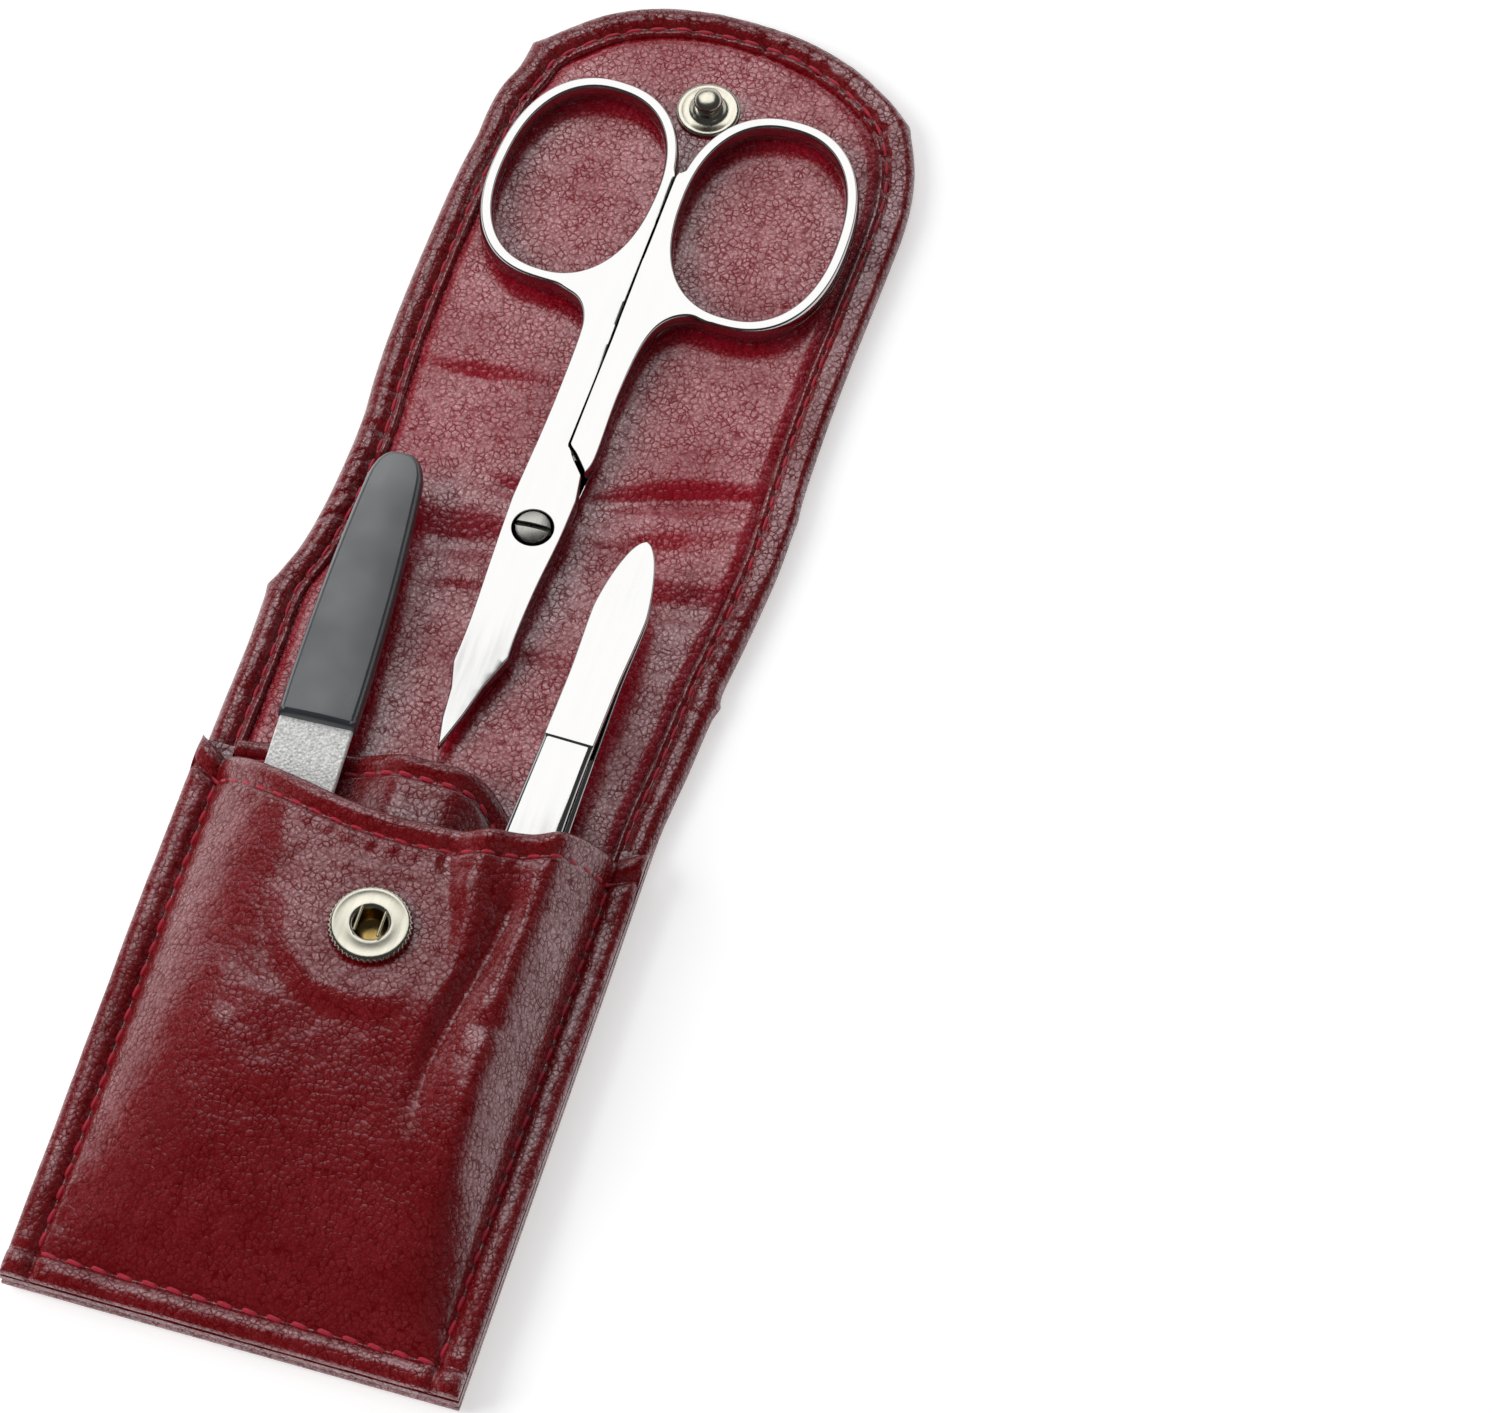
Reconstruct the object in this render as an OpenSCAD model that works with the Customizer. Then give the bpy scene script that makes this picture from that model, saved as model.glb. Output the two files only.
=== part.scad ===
// Leather manicure set case, shown open: a wallet with a pocket, a folding
// flap and a press stud, holding nail scissors, a nail file and tweezers.
// Millimetres. +Z is up, +Y runs from the pocket towards the flap's tip.
// The case lies on its back panel. The origin is under the back panel.

/* [Case] */
// Width of the back panel and of the pocket
case_w = 53; // [50:1:56]
// Length of the pocket at its two side seams
pocket_len = 70.4; // [69:0.2:72]
// How far the middle of the pocket's mouth is cut below its corners
mouth_scoop = 8; // [6:0.5:9]
// Height of the pocket's front over the table, where the press stud sits
front_h = 13; // [12.8:0.1:14]
// Width of the sewn border at the pocket's sides and bottom
seam_w = 3.3; // [2.8:0.1:3.6]
// Height of the ridge that the tweezers press into the pocket's front
ridge_h = 1.8; // [1.8:0.1:2.2]

/* [Leather] */
// Thickness of the outer leather
outer_t = 0.9; // [0.8:0.05:1]
// Thickness of the stiffener board
board_t = 0.6; // [0.5:0.05:0.8]
// Thickness of the lining
lining_t = 0.9; // [0.8:0.05:1]
// Thickness of the pocket's front panel
front_t = 1.3; // [1.1:0.05:1.3]
// Thickness of the welt strips under the pocket's seams
welt_t = 0.8; // [0.7:0.05:1]
// Thickness of the divider between the two compartments
divider_t = 0.7; // [0.5:0.05:0.7]
// Width of the outer leather that is turned over onto the inner side
hem_w = 5; // [4:0.25:6]
// Height of the rear compartment, where the scissors go
rear_gap = 4.1; // [4.1:0.05:4.2]

/* [Flap] */
// Width of the flap
flap_w = 53.3; // [51:0.1:55]
// Sideways offset of the flap from the middle of the pocket
flap_x = 3.55; // [2.5:0.05:4.5]
// Distance from the pocket's bottom edge to the flap's tip
flap_tip_y = 185.7; // [183:0.1:190]
// Length of the rounded end of the flap
tip_len = 25.7; // [22:0.1:28]
// How far each side draws in at the fold
waist_in = 1.4; // [0.5:0.1:2]

/* [Press stud] */
// Sideways place of the socket on the pocket
socket_x = 1; // [0:0.1:1.5]
// Distance of the socket below the corners of the pocket's mouth
socket_drop = 22.4; // [21.6:0.1:23.2]
// Sideways place of the stud on the flap
stud_x = 2.8; // [2:0.1:3.5]
// Distance of the stud from the flap's tip
stud_in = 15.1; // [14:0.1:16]
// Radius of the socket's ring
socket_r = 4.8; // [4.5:0.1:5]
// Height of the socket's ring over the leather
socket_h = 1.7; // [1.5:0.1:1.9]
// Radius of the socket's hole
socket_hole_r = 2.25; // [2.15:0.05:2.4]
// Radius of the stud's base ring
stud_r = 3.85; // [3.6:0.05:4]
// Thickness of the stud's base ring
stud_base_t = 1; // [0.8:0.05:1.2]
// Height of the stud over the lining
stud_h = 3.2; // [2.9:0.05:3.4]
// Radius of the stud's ball
ball_r = 1.75; // [1.6:0.05:1.85]

/* [Scissors] */
// Thickness of one blade
blade_t = 1.5; // [1.3:0.05:1.6]
// Width of the rim of a finger loop, seen from above
loop_rim = 1.6; // [1.4:0.05:1.8]
// Sideways place of the pivot screw
pivot_x = 1; // [0.5:0.1:1.5]
// Room along the case between the corners of the pocket's mouth and the scissors' tip
tip_room = 5.5; // [5:0.1:6]
// Radius of the pivot screw's head
screw_r = 2.3; // [2:0.05:2.5]
// Radius of the pivot screw's shank
shank_r = 1.2; // [1:0.05:1.4]

/* [Nail file] */
// Length of the file's handle
handle_len = 36.7; // [34:0.1:37]
// Width of the handle at its shoulder
handle_w = 9.3; // [8.5:0.1:9.6]
// Thickness of the handle
handle_t = 3.2; // [3:0.1:3.4]
// Length of the file's blade, out of the handle
file_len = 48; // [40:0.5:48.5]
// Width of the file's blade
file_w = 8.8; // [8:0.1:9]
// Thickness of the file's blade
file_t = 0.8; // [0.6:0.05:0.9]

/* [Tweezers] */
// Length of the tweezers
tweezers_len = 79.7; // [76:0.1:80]
// Width of the tweezers at the grip
tweezers_w = 6.2; // [5.6:0.1:6.6]
// Thickness of one arm
arm_t = 0.9; // [0.8:0.05:1]
// Half of the distance between the arms' middle planes at the grip
arm_bow = 2.3; // [2:0.05:2.35]
// The same half distance at the tips
arm_tip = 1.4; // [1.35:0.05:1.5]

/* [Hidden] */
$fn = 48;

leather_red = [0.42, 0.05, 0.09];
lining_red = [0.48, 0.09, 0.14];
board_grey = [0.55, 0.5, 0.42];
brass_gold = [0.83, 0.74, 0.52];
steel = [0.82, 0.83, 0.85];
black_plastic = [0.08, 0.09, 0.1];

// Distance from the pocket's bottom edge to the point over the origin
rest_y = 50;
case_half = case_w / 2;
board_z = outer_t;
lining_z = outer_t + board_t;
back_t = lining_z + lining_t;
fit_gap = 0.1;
run_gap = 0.3;

// Press stud and fold: the two fold lines are set so that the stud lands on the socket.
socket_y = pocket_len - socket_drop;
stud_y = flap_tip_y - stud_in;
cup_wall = 0.4;
snap_gap = 0.2;
closed_z = front_h + socket_h + snap_gap + stud_base_t;
spine_len = closed_z - back_t;
fold_x = (socket_x + stud_x) / 2;
fold_y = (socket_y + stud_y) / 2;
fold_tilt = asin((socket_x - stud_x) / norm([socket_x - stud_x, socket_y - stud_y]));
far = 150;

// Pocket: heights of its front and of its divider
welt_z = back_t + welt_t;
edge_z = welt_z + front_t;
bulge_half = case_half - seam_w;
bulge_y = 3;
bulge_end_y = 60;
bulge_power = 5;
rise_power = 2.6;
tweezers_in = 12.5;
tweezers_x = case_half - tweezers_in;
ridge_x = tweezers_x + 0.3;
ridge_r = 4.6;
seat_r = 8.5;
seat_fade = 3.5;
divider_half = bulge_half - run_gap;
divider_y = bulge_y + fit_gap;
divider_top_y = pocket_len + 3.4;
hump_half = 5;
hump_fade = 4.5;

function clamp01(t) = min(1, max(0, t));
function ease(t) = let (c = clamp01(t)) c * c * (3 - 2 * c);
function mix(a, b, t) = a + (b - a) * t;

// Height that the front's bulge and the tweezers' ridge add at a point
function bulge(x, y) =
    let (across = 1 - pow(clamp01(abs(x) / bulge_half), bulge_power),
         t = clamp01((y - bulge_y) / (bulge_end_y - bulge_y)),
         ridge = ridge_h * exp(-pow((x - ridge_x) / ridge_r, 2)) * ease((y - 8) / 30))
    (front_h - edge_z) * across * (1 - pow(1 - t, rise_power))
    + ridge * (1 - pow(clamp01(abs(x) / bulge_half), 6));

// Outer height of the pocket's front, flat under the socket
front_z = function (x, y)
    let (r = norm([x - socket_x, y - socket_y]))
    mix(edge_z + bulge(x, y), front_h, 1 - ease((r - seat_r) / seat_fade));

front_mouth = function (x)
    pocket_len - mouth_scoop * pow(cos(90 * clamp01(abs(x) / case_half)), 0.8);

// The divider lies on the lining at its sides and humps up over the scissors' blades.
divider_z = function (x, y)
    back_t + divider_t
    + rear_gap * (1 - ease((abs(x) - hump_half) / hump_fade)) * ease((y - bulge_y) / 25);

divider_mouth = function (x)
    divider_top_y - 2.2 * ease((-x - 16) / 8) - 9.5 * ease((x - 8) / 12);

// Points of a curve that passes through p, n for each stretch
function smooth_path(p, n) = [
    for (i = [0 : len(p) - 2], k = [0 : n - 1])
        let (a = p[max(i - 1, 0)], b = p[i], c = p[i + 1], d = p[min(i + 2, len(p) - 1)], t = k / n)
        0.5 * (2 * b + (c - a) * t + (2 * a - 5 * b + 4 * c - d) * t * t
               + (3 * b - a - 3 * c + d) * t * t * t),
    p[len(p) - 1]];

function reverse(p) = [for (i = [len(p) - 1 : -1 : 0]) p[i]];

// A squarish oval from angle a0 to a1
function oval(cx, cy, rx, ry, a0, a1, n, power = 2.3) = [
    for (i = [0 : n])
        let (a = mix(a0, a1, i / n), e = 2 / power)
        [cx + rx * sign(cos(a)) * pow(abs(cos(a)), e), cy + ry * sign(sin(a)) * pow(abs(sin(a)), e)]];

// One long edge of the case, from the pocket's bottom to the rounded tip
function side_edge(s, inset) =
    let (wide = s * (flap_w / 2 - inset) + flap_x, neck_y = fold_y - spine_len / 2)
    [[s * (case_half - inset), 80], [s * (case_half - inset), 89],
     [wide - s * waist_in - 0.55, neck_y], [wide - s * waist_in * 0.9, fold_y + spine_len / 2],
     [wide, fold_y + 20], [wide, flap_tip_y - tip_len]];

// Outline of the whole open case, drawn in by inset
function case_outline(inset) = concat(
    [[case_half - inset, inset]],
    smooth_path(side_edge(1, inset), 4),
    oval(flap_x, flap_tip_y - tip_len, flap_w / 2 - inset, tip_len - inset, 4, 176, 36, 2.4),
    reverse(smooth_path(side_edge(-1, inset), 4)),
    [[-case_half + inset, inset]]);

// Puts the origin under the back panel.
module on_back() {
    translate([0, -rest_y, 0]) children();
}

// The part of a shape from d0 to d1 past the middle of the fold
module between_folds(d0, d1) {
    intersection() {
        children();
        translate([fold_x, fold_y, -1]) rotate(fold_tilt)
            translate([-far, d0, 0]) cube([2 * far, d1 - d0, back_t + 2]);
    }
}

module layer(inset, z0, z1) {
    translate([0, 0, z0]) linear_extrude(z1 - z0) polygon(case_outline(inset));
}

// Outer leather of a panel, turned over at its rim, with a floor up to floor_z
module outer_panel(d0, d1, floor_z) {
    between_folds(d0, d1) difference() {
        layer(0, 0, back_t);
        layer(hem_w, floor_z, back_t + 1);
    }
}

module back_outer() {
    color(leather_red) on_back() outer_panel(-far, -spine_len / 2, board_z);
}

module back_board() {
    color(board_grey) on_back() between_folds(-far, -spine_len / 2 - 1)
        layer(hem_w, board_z, lining_z);
}

module back_lining() {
    color(lining_red) on_back() between_folds(-far, -spine_len / 2) layer(hem_w, lining_z, back_t);
}

module spine_outer() {
    color(leather_red) on_back() outer_panel(-spine_len / 2, spine_len / 2, lining_z);
}

module spine_lining() {
    color(lining_red) on_back() between_folds(-spine_len / 2, spine_len / 2)
        layer(hem_w, lining_z, back_t);
}

module flap_outer() {
    color(leather_red) on_back() outer_panel(spine_len / 2, far, board_z);
}

rivet_shank_r = 1;
rivet_head_r = 3.4;
rivet_head_t = 0.4;

module flap_board() {
    color(board_grey) on_back() difference() {
        between_folds(spine_len / 2 + 1, far) layer(hem_w, board_z, lining_z);
        translate([stud_x, stud_y, board_z - 1]) cylinder(r = rivet_shank_r, h = board_t + 2);
        translate([stud_x, stud_y, board_z - 1]) cylinder(r = rivet_head_r, h = rivet_head_t + 1);
    }
}

module flap_lining() {
    color(lining_red) on_back() difference() {
        between_folds(spine_len / 2, far) layer(hem_w, lining_z, back_t);
        translate([stud_x, stud_y, lining_z - 1]) cylinder(r = rivet_shank_r, h = lining_t + 2);
    }
}

// A thin panel over a grid: columns at xs, rows from y_low to its mouth
module sheet(xs, rows, y_low, mouth, top_z, thick) {
    cols = len(xs) - 1;
    count = (cols + 1) * (rows + 1);
    function at(i, j) = i * (rows + 1) + j;
    top = [for (x = xs, j = [0 : rows])
           let (y = mix(y_low, mouth(x), j / rows)) [x, y, top_z(x, y)]];
    low = [for (p = top) [p.x, p.y, p.z - thick]];
    cells = [for (i = [0 : cols - 1], j = [0 : rows - 1])
             [at(i, j), at(i, j + 1), at(i + 1, j + 1), at(i + 1, j)]];
    rim = concat([for (j = [0 : rows - 1]) at(0, j)],
                 [for (i = [0 : cols - 1]) at(i, rows)],
                 [for (j = [rows : -1 : 1]) at(cols, j)],
                 [for (i = [cols : -1 : 1]) at(i, 0)]);
    polyhedron(concat(top, low), concat(
        [for (c = cells) [c[0], c[1], c[2]]],
        [for (c = cells) [c[0], c[2], c[3]]],
        [for (c = cells) [c[0] + count, c[2] + count, c[1] + count]],
        [for (c = cells) [c[0] + count, c[3] + count, c[2] + count]],
        [for (k = [0 : len(rim) - 1]) let (a = rim[k], b = rim[(k + 1) % len(rim)]) [a, a + count, b]],
        [for (k = [0 : len(rim) - 1]) let (a = rim[k], b = rim[(k + 1) % len(rim)])
            [b, a + count, b + count]]));
}

cup_r = socket_hole_r + cup_wall;

module pocket_front() {
    columns = 16;
    xs = concat([-case_half], [for (i = [0 : columns]) mix(-bulge_half, bulge_half, i / columns)],
                [case_half]);
    color(leather_red) on_back() difference() {
        sheet(xs, 18, 0, front_mouth, front_z, front_t);
        translate([socket_x, socket_y, edge_z]) cylinder(r = cup_r, h = front_h);
    }
}

module pocket_divider() {
    columns = 22;
    color(leather_red) on_back()
        sheet([for (i = [0 : columns]) mix(-divider_half, divider_half, i / columns)],
              14, divider_y, divider_mouth, divider_z, divider_t);
}

module welt(x0, x1, y0, y1) {
    color(leather_red) on_back() translate([x0, y0, back_t]) cube([x1 - x0, y1 - y0, welt_t]);
}

module welt_left() {
    welt(-case_half, -bulge_half, bulge_y, pocket_len);
}

module welt_right() {
    welt(bulge_half, case_half, bulge_y, pocket_len);
}

module welt_bottom() {
    welt(-case_half, case_half, 0, bulge_y);
}

// Press stud's socket: a domed ring with a turned rim round its hole
module snap_socket() {
    rim_r = 0.5;
    color(brass_gold) on_back() translate([socket_x, socket_y, front_h]) {
        rotate_extrude() polygon(concat(
            [[socket_hole_r, 0], [socket_r - 0.2, 0]],
            [for (a = [-60 : 20 : 90]) [socket_r - rim_r + rim_r * cos(a), 0.55 + rim_r * sin(a)]],
            [[socket_r - 1.2, 1.15], [socket_hole_r + 0.9, socket_h - 0.15],
             [socket_hole_r + 0.5, socket_h], [socket_hole_r + 0.15, socket_h - 0.1],
             [socket_hole_r, socket_h - 0.4]]));
    }
}

spring_wire_r = 0.18;
neck_r = 1.05;

module snap_spring() {
    wire_x = neck_r + 0.15 + spring_wire_r;
    wire_half = socket_hole_r - 0.15;
    color(steel) on_back() for (s = [-1, 1])
        translate([socket_x + s * wire_x, socket_y, front_h + socket_h - 0.25])
            rotate([90, 0, 0])
                cylinder(r = spring_wire_r, h = 2 * sqrt(pow(wire_half, 2) - pow(wire_x, 2)), center = true);
}

// Cup that is riveted behind the leather and takes the stud's ball
module snap_cup() {
    floor_z = front_h - front_t - cup_wall;
    flange_r = 4.2;
    color(brass_gold) on_back() translate([socket_x, socket_y, floor_z]) difference() {
        union() {
            cylinder(r = flange_r, h = cup_wall);
            cylinder(r = cup_r, h = front_t + cup_wall);
        }
        translate([0, 0, cup_wall]) cylinder(r = socket_hole_r, h = front_t + 1);
    }
}

module snap_stud() {
    ball_half_h = (stud_h - stud_base_t - 0.35) / 2;
    ball_z = stud_h - ball_half_h;
    color(brass_gold) on_back() translate([stud_x, stud_y, back_t])
        rotate_extrude() polygon(concat(
            [[0, 0], [stud_r - 0.15, 0], [stud_r, 0.25], [stud_r - 0.1, 0.6], [stud_r - 0.5, 0.75],
             [stud_r - 1.1, 0.5], [neck_r + 0.9, stud_base_t], [neck_r, stud_base_t + 0.15]],
            [[neck_r, ball_z - ball_half_h]],
            [for (a = [-50 : 14 : 90]) [ball_r * cos(a), ball_z + ball_half_h * sin(a)]]));
}

module snap_rivet() {
    color(steel) on_back() translate([stud_x, stud_y, board_z]) {
        cylinder(r = rivet_head_r, h = rivet_head_t);
        cylinder(r = rivet_shank_r, h = back_t - board_z);
    }
}

// Scissors: two crossed pieces, each a blade, a shank and a finger loop. Their outlines are
// drawn round the pivot for a 95 mm pair, and scaled to the room between pocket and stud.
drawn_tip = 30.8;
drawn_stud = 63.9;
scissors_k = (stud_y - pocket_len - tip_room) / (drawn_stud + drawn_tip);
pivot_y = stud_y - drawn_stud * scissors_k;
scissors_z = back_t + run_gap;
scissors_gap = 0.1;
scissors_t = 2 * blade_t + scissors_gap;
step_r = 10.9;
step_gap = 0.25;
parting_x = 0.95;
parting_gap = 0.12;
loops_low_y = 39.3;
// Finger loops: middle, half width and half length of the hole, and turn
loop_a = [-9.5, 48.1, 9.2, 13.4, -4];
loop_b = [13, 48.2, 9.5, 13.8, 0];

module at_pivot() {
    translate([pivot_x, pivot_y]) scale(scissors_k) children();
}

module loop_oval(loop, grow) {
    translate([loop[0], loop[1]]) rotate(loop[4])
        polygon(oval(0, 0, loop[2] + grow, loop[3] + grow, 0, 354, 59));
}

// Shank of the upper piece; its edge at the parting line is straight.
module shank_a() {
    polygon(concat(
        [[parting_x - 0.35, 11.9], [parting_x, 27.3], [parting_x + 0.1, 44.3]],
        smooth_path([[-5, 42.3], [-10.5, 34.7], [-7.2, 32.8], [-4.7, 31.7], [-3.4, 29.6], [-3, 26.3],
                     [-3, 17.3], [-3.3, 10]], 4),
        [[parting_x - 0.35, 10]]));
}

module shank_b() {
    polygon(concat(
        [[parting_x + parting_gap - 0.35, 12.1], [parting_x + parting_gap, 27.3],
         [parting_x + parting_gap + 0.1, 42.3]],
        smooth_path([[7.5, 42.3], [11.5, 33.7], [9.2, 33.2], [7.1, 32.2], [5.6, 30.1], [4.7, 26.3],
                     [4.2, 19.3], [4.2, 11], [3.5, 8.6]], 4)));
}

// Joins the lower piece's shank to its blade, under the upper piece
module neck_b() {
    polygon([[-1, 5], [3.6, 5], [4.1, 12], [parting_x + parting_gap - 0.3, 13]]);
}

module handle_a() {
    difference() {
        union() {
            loop_oval(loop_a, loop_rim);
            shank_a();
        }
        loop_oval(loop_a, 0);
        translate([parting_x + 0.15, loops_low_y]) square([20, 60]);
    }
}

module handle_b() {
    difference() {
        union() {
            loop_oval(loop_b, loop_rim);
            shank_b();
        }
        loop_oval(loop_b, 0);
        translate([parting_x + 0.15 + parting_gap - 20, loops_low_y]) square([20, 60]);
    }
}

// Blade and pivot area, from the step down to the tip
module blade_plan(trim) {
    polygon(concat(
        [[-3.3, 10.4], [0.6, 11.9], [3.35, 8.5]],
        smooth_path([[3.85 - trim, 4.9], [3.6 - trim, -0.7], [2.95 - trim, -7.7], [2.6 - trim, -14.1],
                     [2.65 - trim, -17.4]], 3),
        [[0.95 - trim, -21.7], [-0.15 - trim, -25.8], [-1.75, -30.8], [-2.5, -26.7],
         [-2.75 + trim, -22.7]],
        smooth_path([[-3.55 + trim, -19.4], [-3.35 + trim, -13.3], [-3.6 + trim, -2.7],
                     [-3.7 + trim, 3.3]], 3)));
}

// Area over which the lower piece is only half as thick
module step_cut() {
    shift = parting_gap + 0.1;
    translate([-1, -7]) square([20, 15.75]);
    polygon([[3.35, 8.5], [3.35 + shift, 8.5 + shift], [0.6 + shift, 11.9 + shift], [-6, 12.2], [-6, 0]]);
}

// Upper piece: the left finger loop and the blade that shows on top
module scissors_upper() {
    color(steel) on_back() difference() {
        union() {
            translate([0, 0, scissors_z + blade_t + scissors_gap]) linear_extrude(blade_t) at_pivot() {
                handle_a();
                blade_plan(0);
            }
            translate([0, 0, scissors_z]) linear_extrude(blade_t + scissors_gap + 0.2) at_pivot()
                difference() {
                    handle_a();
                    circle(r = step_r + step_gap);
                }
        }
        translate([pivot_x, pivot_y, scissors_z]) cylinder(r = shank_r, h = scissors_t + 1);
    }
}

// Lower piece: the right finger loop and the blade underneath
module scissors_lower() {
    clear_r = 0.06;
    trim = 0.15;
    color(steel) on_back() difference() {
        union() {
            translate([0, 0, scissors_z]) linear_extrude(blade_t) at_pivot() {
                handle_b();
                intersection() {
                    circle(r = step_r);
                    union() {
                        blade_plan(trim);
                        neck_b();
                    }
                }
                difference() {
                    blade_plan(trim);
                    translate([-20, 0]) square([40, 20]);
                }
            }
            translate([0, 0, scissors_z + blade_t - 0.2]) linear_extrude(blade_t + scissors_gap + 0.2)
                at_pivot() difference() {
                    handle_b();
                    step_cut();
                }
        }
        translate([pivot_x, pivot_y, scissors_z - 1]) cylinder(r = shank_r + clear_r, h = scissors_t + 2);
    }
}

module scissors_screw() {
    head_t = 0.5;
    slot_w = 0.7;
    top_z = scissors_z + scissors_t;
    color(steel) on_back() translate([pivot_x, pivot_y, 0]) difference() {
        union() {
            translate([0, 0, top_z]) cylinder(r = screw_r, h = head_t);
            translate([0, 0, scissors_z]) cylinder(r = shank_r, h = scissors_t);
        }
        rotate(18) translate([-screw_r, -slot_w / 2, top_z + head_t - 0.3]) cube([2 * screw_r, slot_w, 1]);
    }
}

// Nail file: it leans a little, and slides along its own length.
file_in = 11.8;
file_out = 4.1;
file_at = [file_in - case_half, pocket_len + file_out, back_t + 3.35];
file_turn = 2.35;
file_pitch = 1.6;

module file_frame() {
    translate(file_at) rotate(file_turn) rotate([file_pitch, 0, 0]) children();
}

module file_blade() {
    tang_w = 3;
    tang_len = 12;
    half = file_w / 2;
    color(steel) on_back() file_frame() translate([0, 0, -file_t / 2]) linear_extrude(file_t)
        polygon(concat(
            [[-tang_w / 2, tang_len], [-tang_w / 2, 0], [-half, 0]],
            smooth_path([[-half, -6], [-half, -20], [-half * 0.9, -file_len + 14],
                         [-half * 0.62, -file_len + 3.5], [0, -file_len],
                         [half * 0.62, -file_len + 3.5], [half * 0.9, -file_len + 14], [half, -20],
                         [half, -6]], 4),
            [[half, 0], [tang_w / 2, 0], [tang_w / 2, tang_len]]));
}

module file_handle() {
    tang_w = 3;
    tang_len = 12;
    half = handle_w / 2;
    color(black_plastic) on_back() file_frame() difference() {
        translate([0, 0, -handle_t / 2]) linear_extrude(handle_t) polygon(concat(
            [[-half + 0.3, 0]],
            smooth_path([[-half, 1], [-half - 0.05, 5], [-half * 0.86, handle_len * 0.45],
                         [-half * 0.64, handle_len * 0.8], [-half * 0.58, handle_len - 3],
                         [-half * 0.36, handle_len - 0.6], [0, handle_len],
                         [half * 0.36, handle_len - 0.6], [half * 0.58, handle_len - 3],
                         [half * 0.64, handle_len * 0.8], [half * 0.86, handle_len * 0.45],
                         [half + 0.05, 5], [half, 1]], 4),
            [[half - 0.3, 0]]));
        translate([-tang_w / 2, -1, -file_t / 2]) cube([tang_w, tang_len + 1, file_t]);
    }
}

// Tweezers: two bowed arms that are joined at the head
grip_down = 2.4;
tweezers_at = [tweezers_x, pocket_len - grip_down, back_t + 4.55];
tweezers_turn = -1.3;
tweezers_pitch = 1.5;
head_s = 38.7;
hinge_s = 31;
tip_s = head_s - tweezers_len;
arm_rest_gap = 0.05;

module tweezers_frame() {
    translate(tweezers_at) rotate(tweezers_turn) rotate([tweezers_pitch, 0, 0]) children();
}

// Half width along the tweezers
function tweezers_half(s) =
    let (grip = tweezers_w / 2)
    s > hinge_s ? (grip - 0.1) * sqrt(max(0.004, 1 - pow((s - hinge_s) / (head_s - hinge_s), 1.9))) :
    s > 5 ? grip - 0.1 :
    s > -10 ? mix(grip + 0.15, grip - 0.1, ease((s + 10) / 15)) :
    mix(1.5, grip + 0.15, ease((s - tip_s) / (-10 - tip_s)));

// Distance of an arm's middle plane from the middle of the tweezers
function arm_height(s) =
    let (closed = arm_t / 2 + arm_rest_gap)
    s > 0 ? mix(arm_bow, closed, ease(s / hinge_s)) :
    s > -12 ? arm_bow :
    mix(arm_tip, arm_bow, ease((s - tip_s) / (-12 - tip_s)));

// A strip through stations of [place, lower z, upper z]
module strip(stations) {
    ring = [for (q = stations) let (w = tweezers_half(q[0]))
            [[-w, q[0], q[1]], [w, q[0], q[1]], [w, q[0], q[2]], [-w, q[0], q[2]]]];
    last = 4 * (len(stations) - 1);
    polyhedron([for (r = ring, p = r) p], concat(
        [[0, 1, 2], [0, 2, 3], [last, last + 2, last + 1], [last, last + 3, last + 2]],
        [for (k = [0 : len(stations) - 2], c = [0 : 3])
            let (a = 4 * k + c, b = 4 * k + (c + 1) % 4) [a, a + 4, b]],
        [for (k = [0 : len(stations) - 2], c = [0 : 3])
            let (a = 4 * k + c, b = 4 * k + (c + 1) % 4) [b, a + 4, b + 4]]));
}

// Stations of one arm from its tip to the head; side is 1 for the upper arm.
function arm_stations(side) = [
    for (k = [0 : 24])
        let (s = mix(tip_s, hinge_s, k / 24), h = side * arm_height(s)) [s, h - arm_t / 2, h + arm_t / 2]];

// The head is one block where the arms are joined.
module tweezers_lower() {
    head_half = arm_t + arm_rest_gap;
    color(steel) on_back() tweezers_frame() strip(concat(
        arm_stations(-1),
        [[hinge_s + 0.1, -head_half, -arm_rest_gap]],
        [for (k = [0 : 12]) [mix(hinge_s + 0.15, head_s, k / 12), -head_half, head_half]]));
}

module tweezers_upper() {
    color(steel) on_back() tweezers_frame() strip(arm_stations(1));
}

back_outer();
back_board();
back_lining();
spine_outer();
spine_lining();
flap_outer();
flap_board();
flap_lining();
pocket_front();
pocket_divider();
welt_left();
welt_right();
welt_bottom();
snap_socket();
snap_spring();
snap_cup();
snap_stud();
snap_rivet();
scissors_upper();
scissors_lower();
scissors_screw();
file_blade();
file_handle();
tweezers_lower();
tweezers_upper();
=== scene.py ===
import math
import random

import bmesh
import bpy
import numpy as np
from mathutils import Matrix, Vector, noise
from mathutils.geometry import delaunay_2d_cdt


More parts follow.
